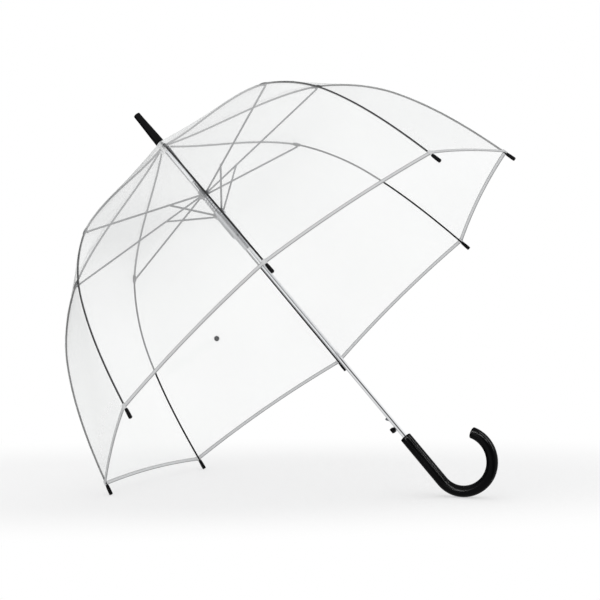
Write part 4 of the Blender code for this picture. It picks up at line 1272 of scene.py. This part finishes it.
def change(first_depth, last_depth, one, two):
    part_way = wadd("ShaderNodeMapRange", interpolation_type="SMOOTHSTEP")
    part_way.inputs["From Min"].default_value = seen_from_camera(first_depth)
    part_way.inputs["From Max"].default_value = seen_from_camera(last_depth)
    tree.links.new(lengthwise.outputs["Value"], part_way.inputs["Value"])
    room = wadd("ShaderNodeMix", data_type="RGBA")
    tree.links.new(part_way.outputs["Result"], room.inputs[0])
    tree.links.new(one, room.inputs[6])
    tree.links.new(two, room.inputs[7])
    return room.outputs[2]


room = change(0.44, 0.56, change(0.19, 0.27, bands(UPPER_STOPS), bands(MIDDLE_STOPS)), bands(LOWER_STOPS))

seen, lit, mirrored = wadd("ShaderNodeBackground"), wadd("ShaderNodeBackground"), wadd("ShaderNodeBackground")
seen.inputs["Color"].default_value = (1, 1, 1, 1)
seen.inputs["Strength"].default_value = 1.0
lit.inputs["Color"].default_value = (1, 1, 1, 1)
lit.inputs["Strength"].default_value = 0.80
tree.links.new(room, mirrored.inputs["Color"])
mirrored.inputs["Strength"].default_value = 1.0
path_node = wadd("ShaderNodeLightPath")
first, second = wadd("ShaderNodeMixShader"), wadd("ShaderNodeMixShader")
tree.links.new(path_node.outputs["Is Glossy Ray"], first.inputs[0])
tree.links.new(lit.outputs[0], first.inputs[1])
tree.links.new(mirrored.outputs[0], first.inputs[2])
tree.links.new(path_node.outputs["Is Camera Ray"], second.inputs[0])
tree.links.new(first.outputs[0], second.inputs[1])
tree.links.new(seen.outputs[0], second.inputs[2])
sky = wadd("ShaderNodeOutputWorld")
tree.links.new(second.outputs[0], sky.inputs["Surface"])


def softbox(name, at, aim, size, power, glossy=True):
    light = bpy.data.lights.new(name, "AREA")
    light.shape, light.size, light.size_y, light.energy = "RECTANGLE", size[0], size[1], power
    obj = bpy.data.objects.new(name, light)
    bpy.context.scene.collection.objects.link(obj)
    obj.location = at
    obj.rotation_mode = "QUATERNION"
    obj.rotation_quaternion = (Vector(aim) - Vector(at)).to_track_quat("-Z", "Y")
    obj.visible_camera = False
    obj.visible_glossy = glossy
    return obj


softbox("overhead", (-0.25, 0.15, 2.3), (-0.05, 0.0, 0.0), (2.4, 2.4), 11.0, glossy=False)


def mirrored_light(name, at, tilt_right, tilt_up, distance, size, power, lie):
    """A light that shows in a surface at a point whose normal leans from the
    viewer by the two angles, lying along a given direction."""
    to_eye = (place.translation - at).normalized()
    normal = (to_eye + right * math.tan(math.radians(tilt_right)) + above * math.tan(math.radians(tilt_up))).normalized()
    out = (normal * 2 * normal.dot(to_eye) - to_eye).normalized()
    light = softbox(name, at + out * distance, at, size, power)
    tall = (lie - out * lie.dot(out)).normalized()
    light.rotation_quaternion = Matrix((tall.cross(out), tall, out)).transposed().to_quaternion()
    light.visible_diffuse = False
    light.light_linking.receiver_collection = BLACK_GLOSS
    return light


# These two draw the soft streaks along the crook, and light nothing else.
BLACK_GLOSS = bpy.data.collections.new("streak_receivers")
BLACK_GLOSS.objects.link(handle)
grip_at = in_world((0, 0, -0.76))
mirrored_light("strip", grip_at, 29, 29, 1.5, (0.13, 1.4), 24.0, shaft_dir)
crook_at = in_world((-CROOK_REACH, 0, -HANDLE_BEND))
for i, (across, up, share) in enumerate(((12, 19, 0.8), (4, 22, 1.0), (-5, 22, 1.0), (-13, 18, 1.0), (-19, 11, 0.9), (-22, 3, 0.7))):
    mirrored_light(f"panel_{i}", crook_at, across, up, 1.5, (0.24, 0.24), 8.0 * share, above)
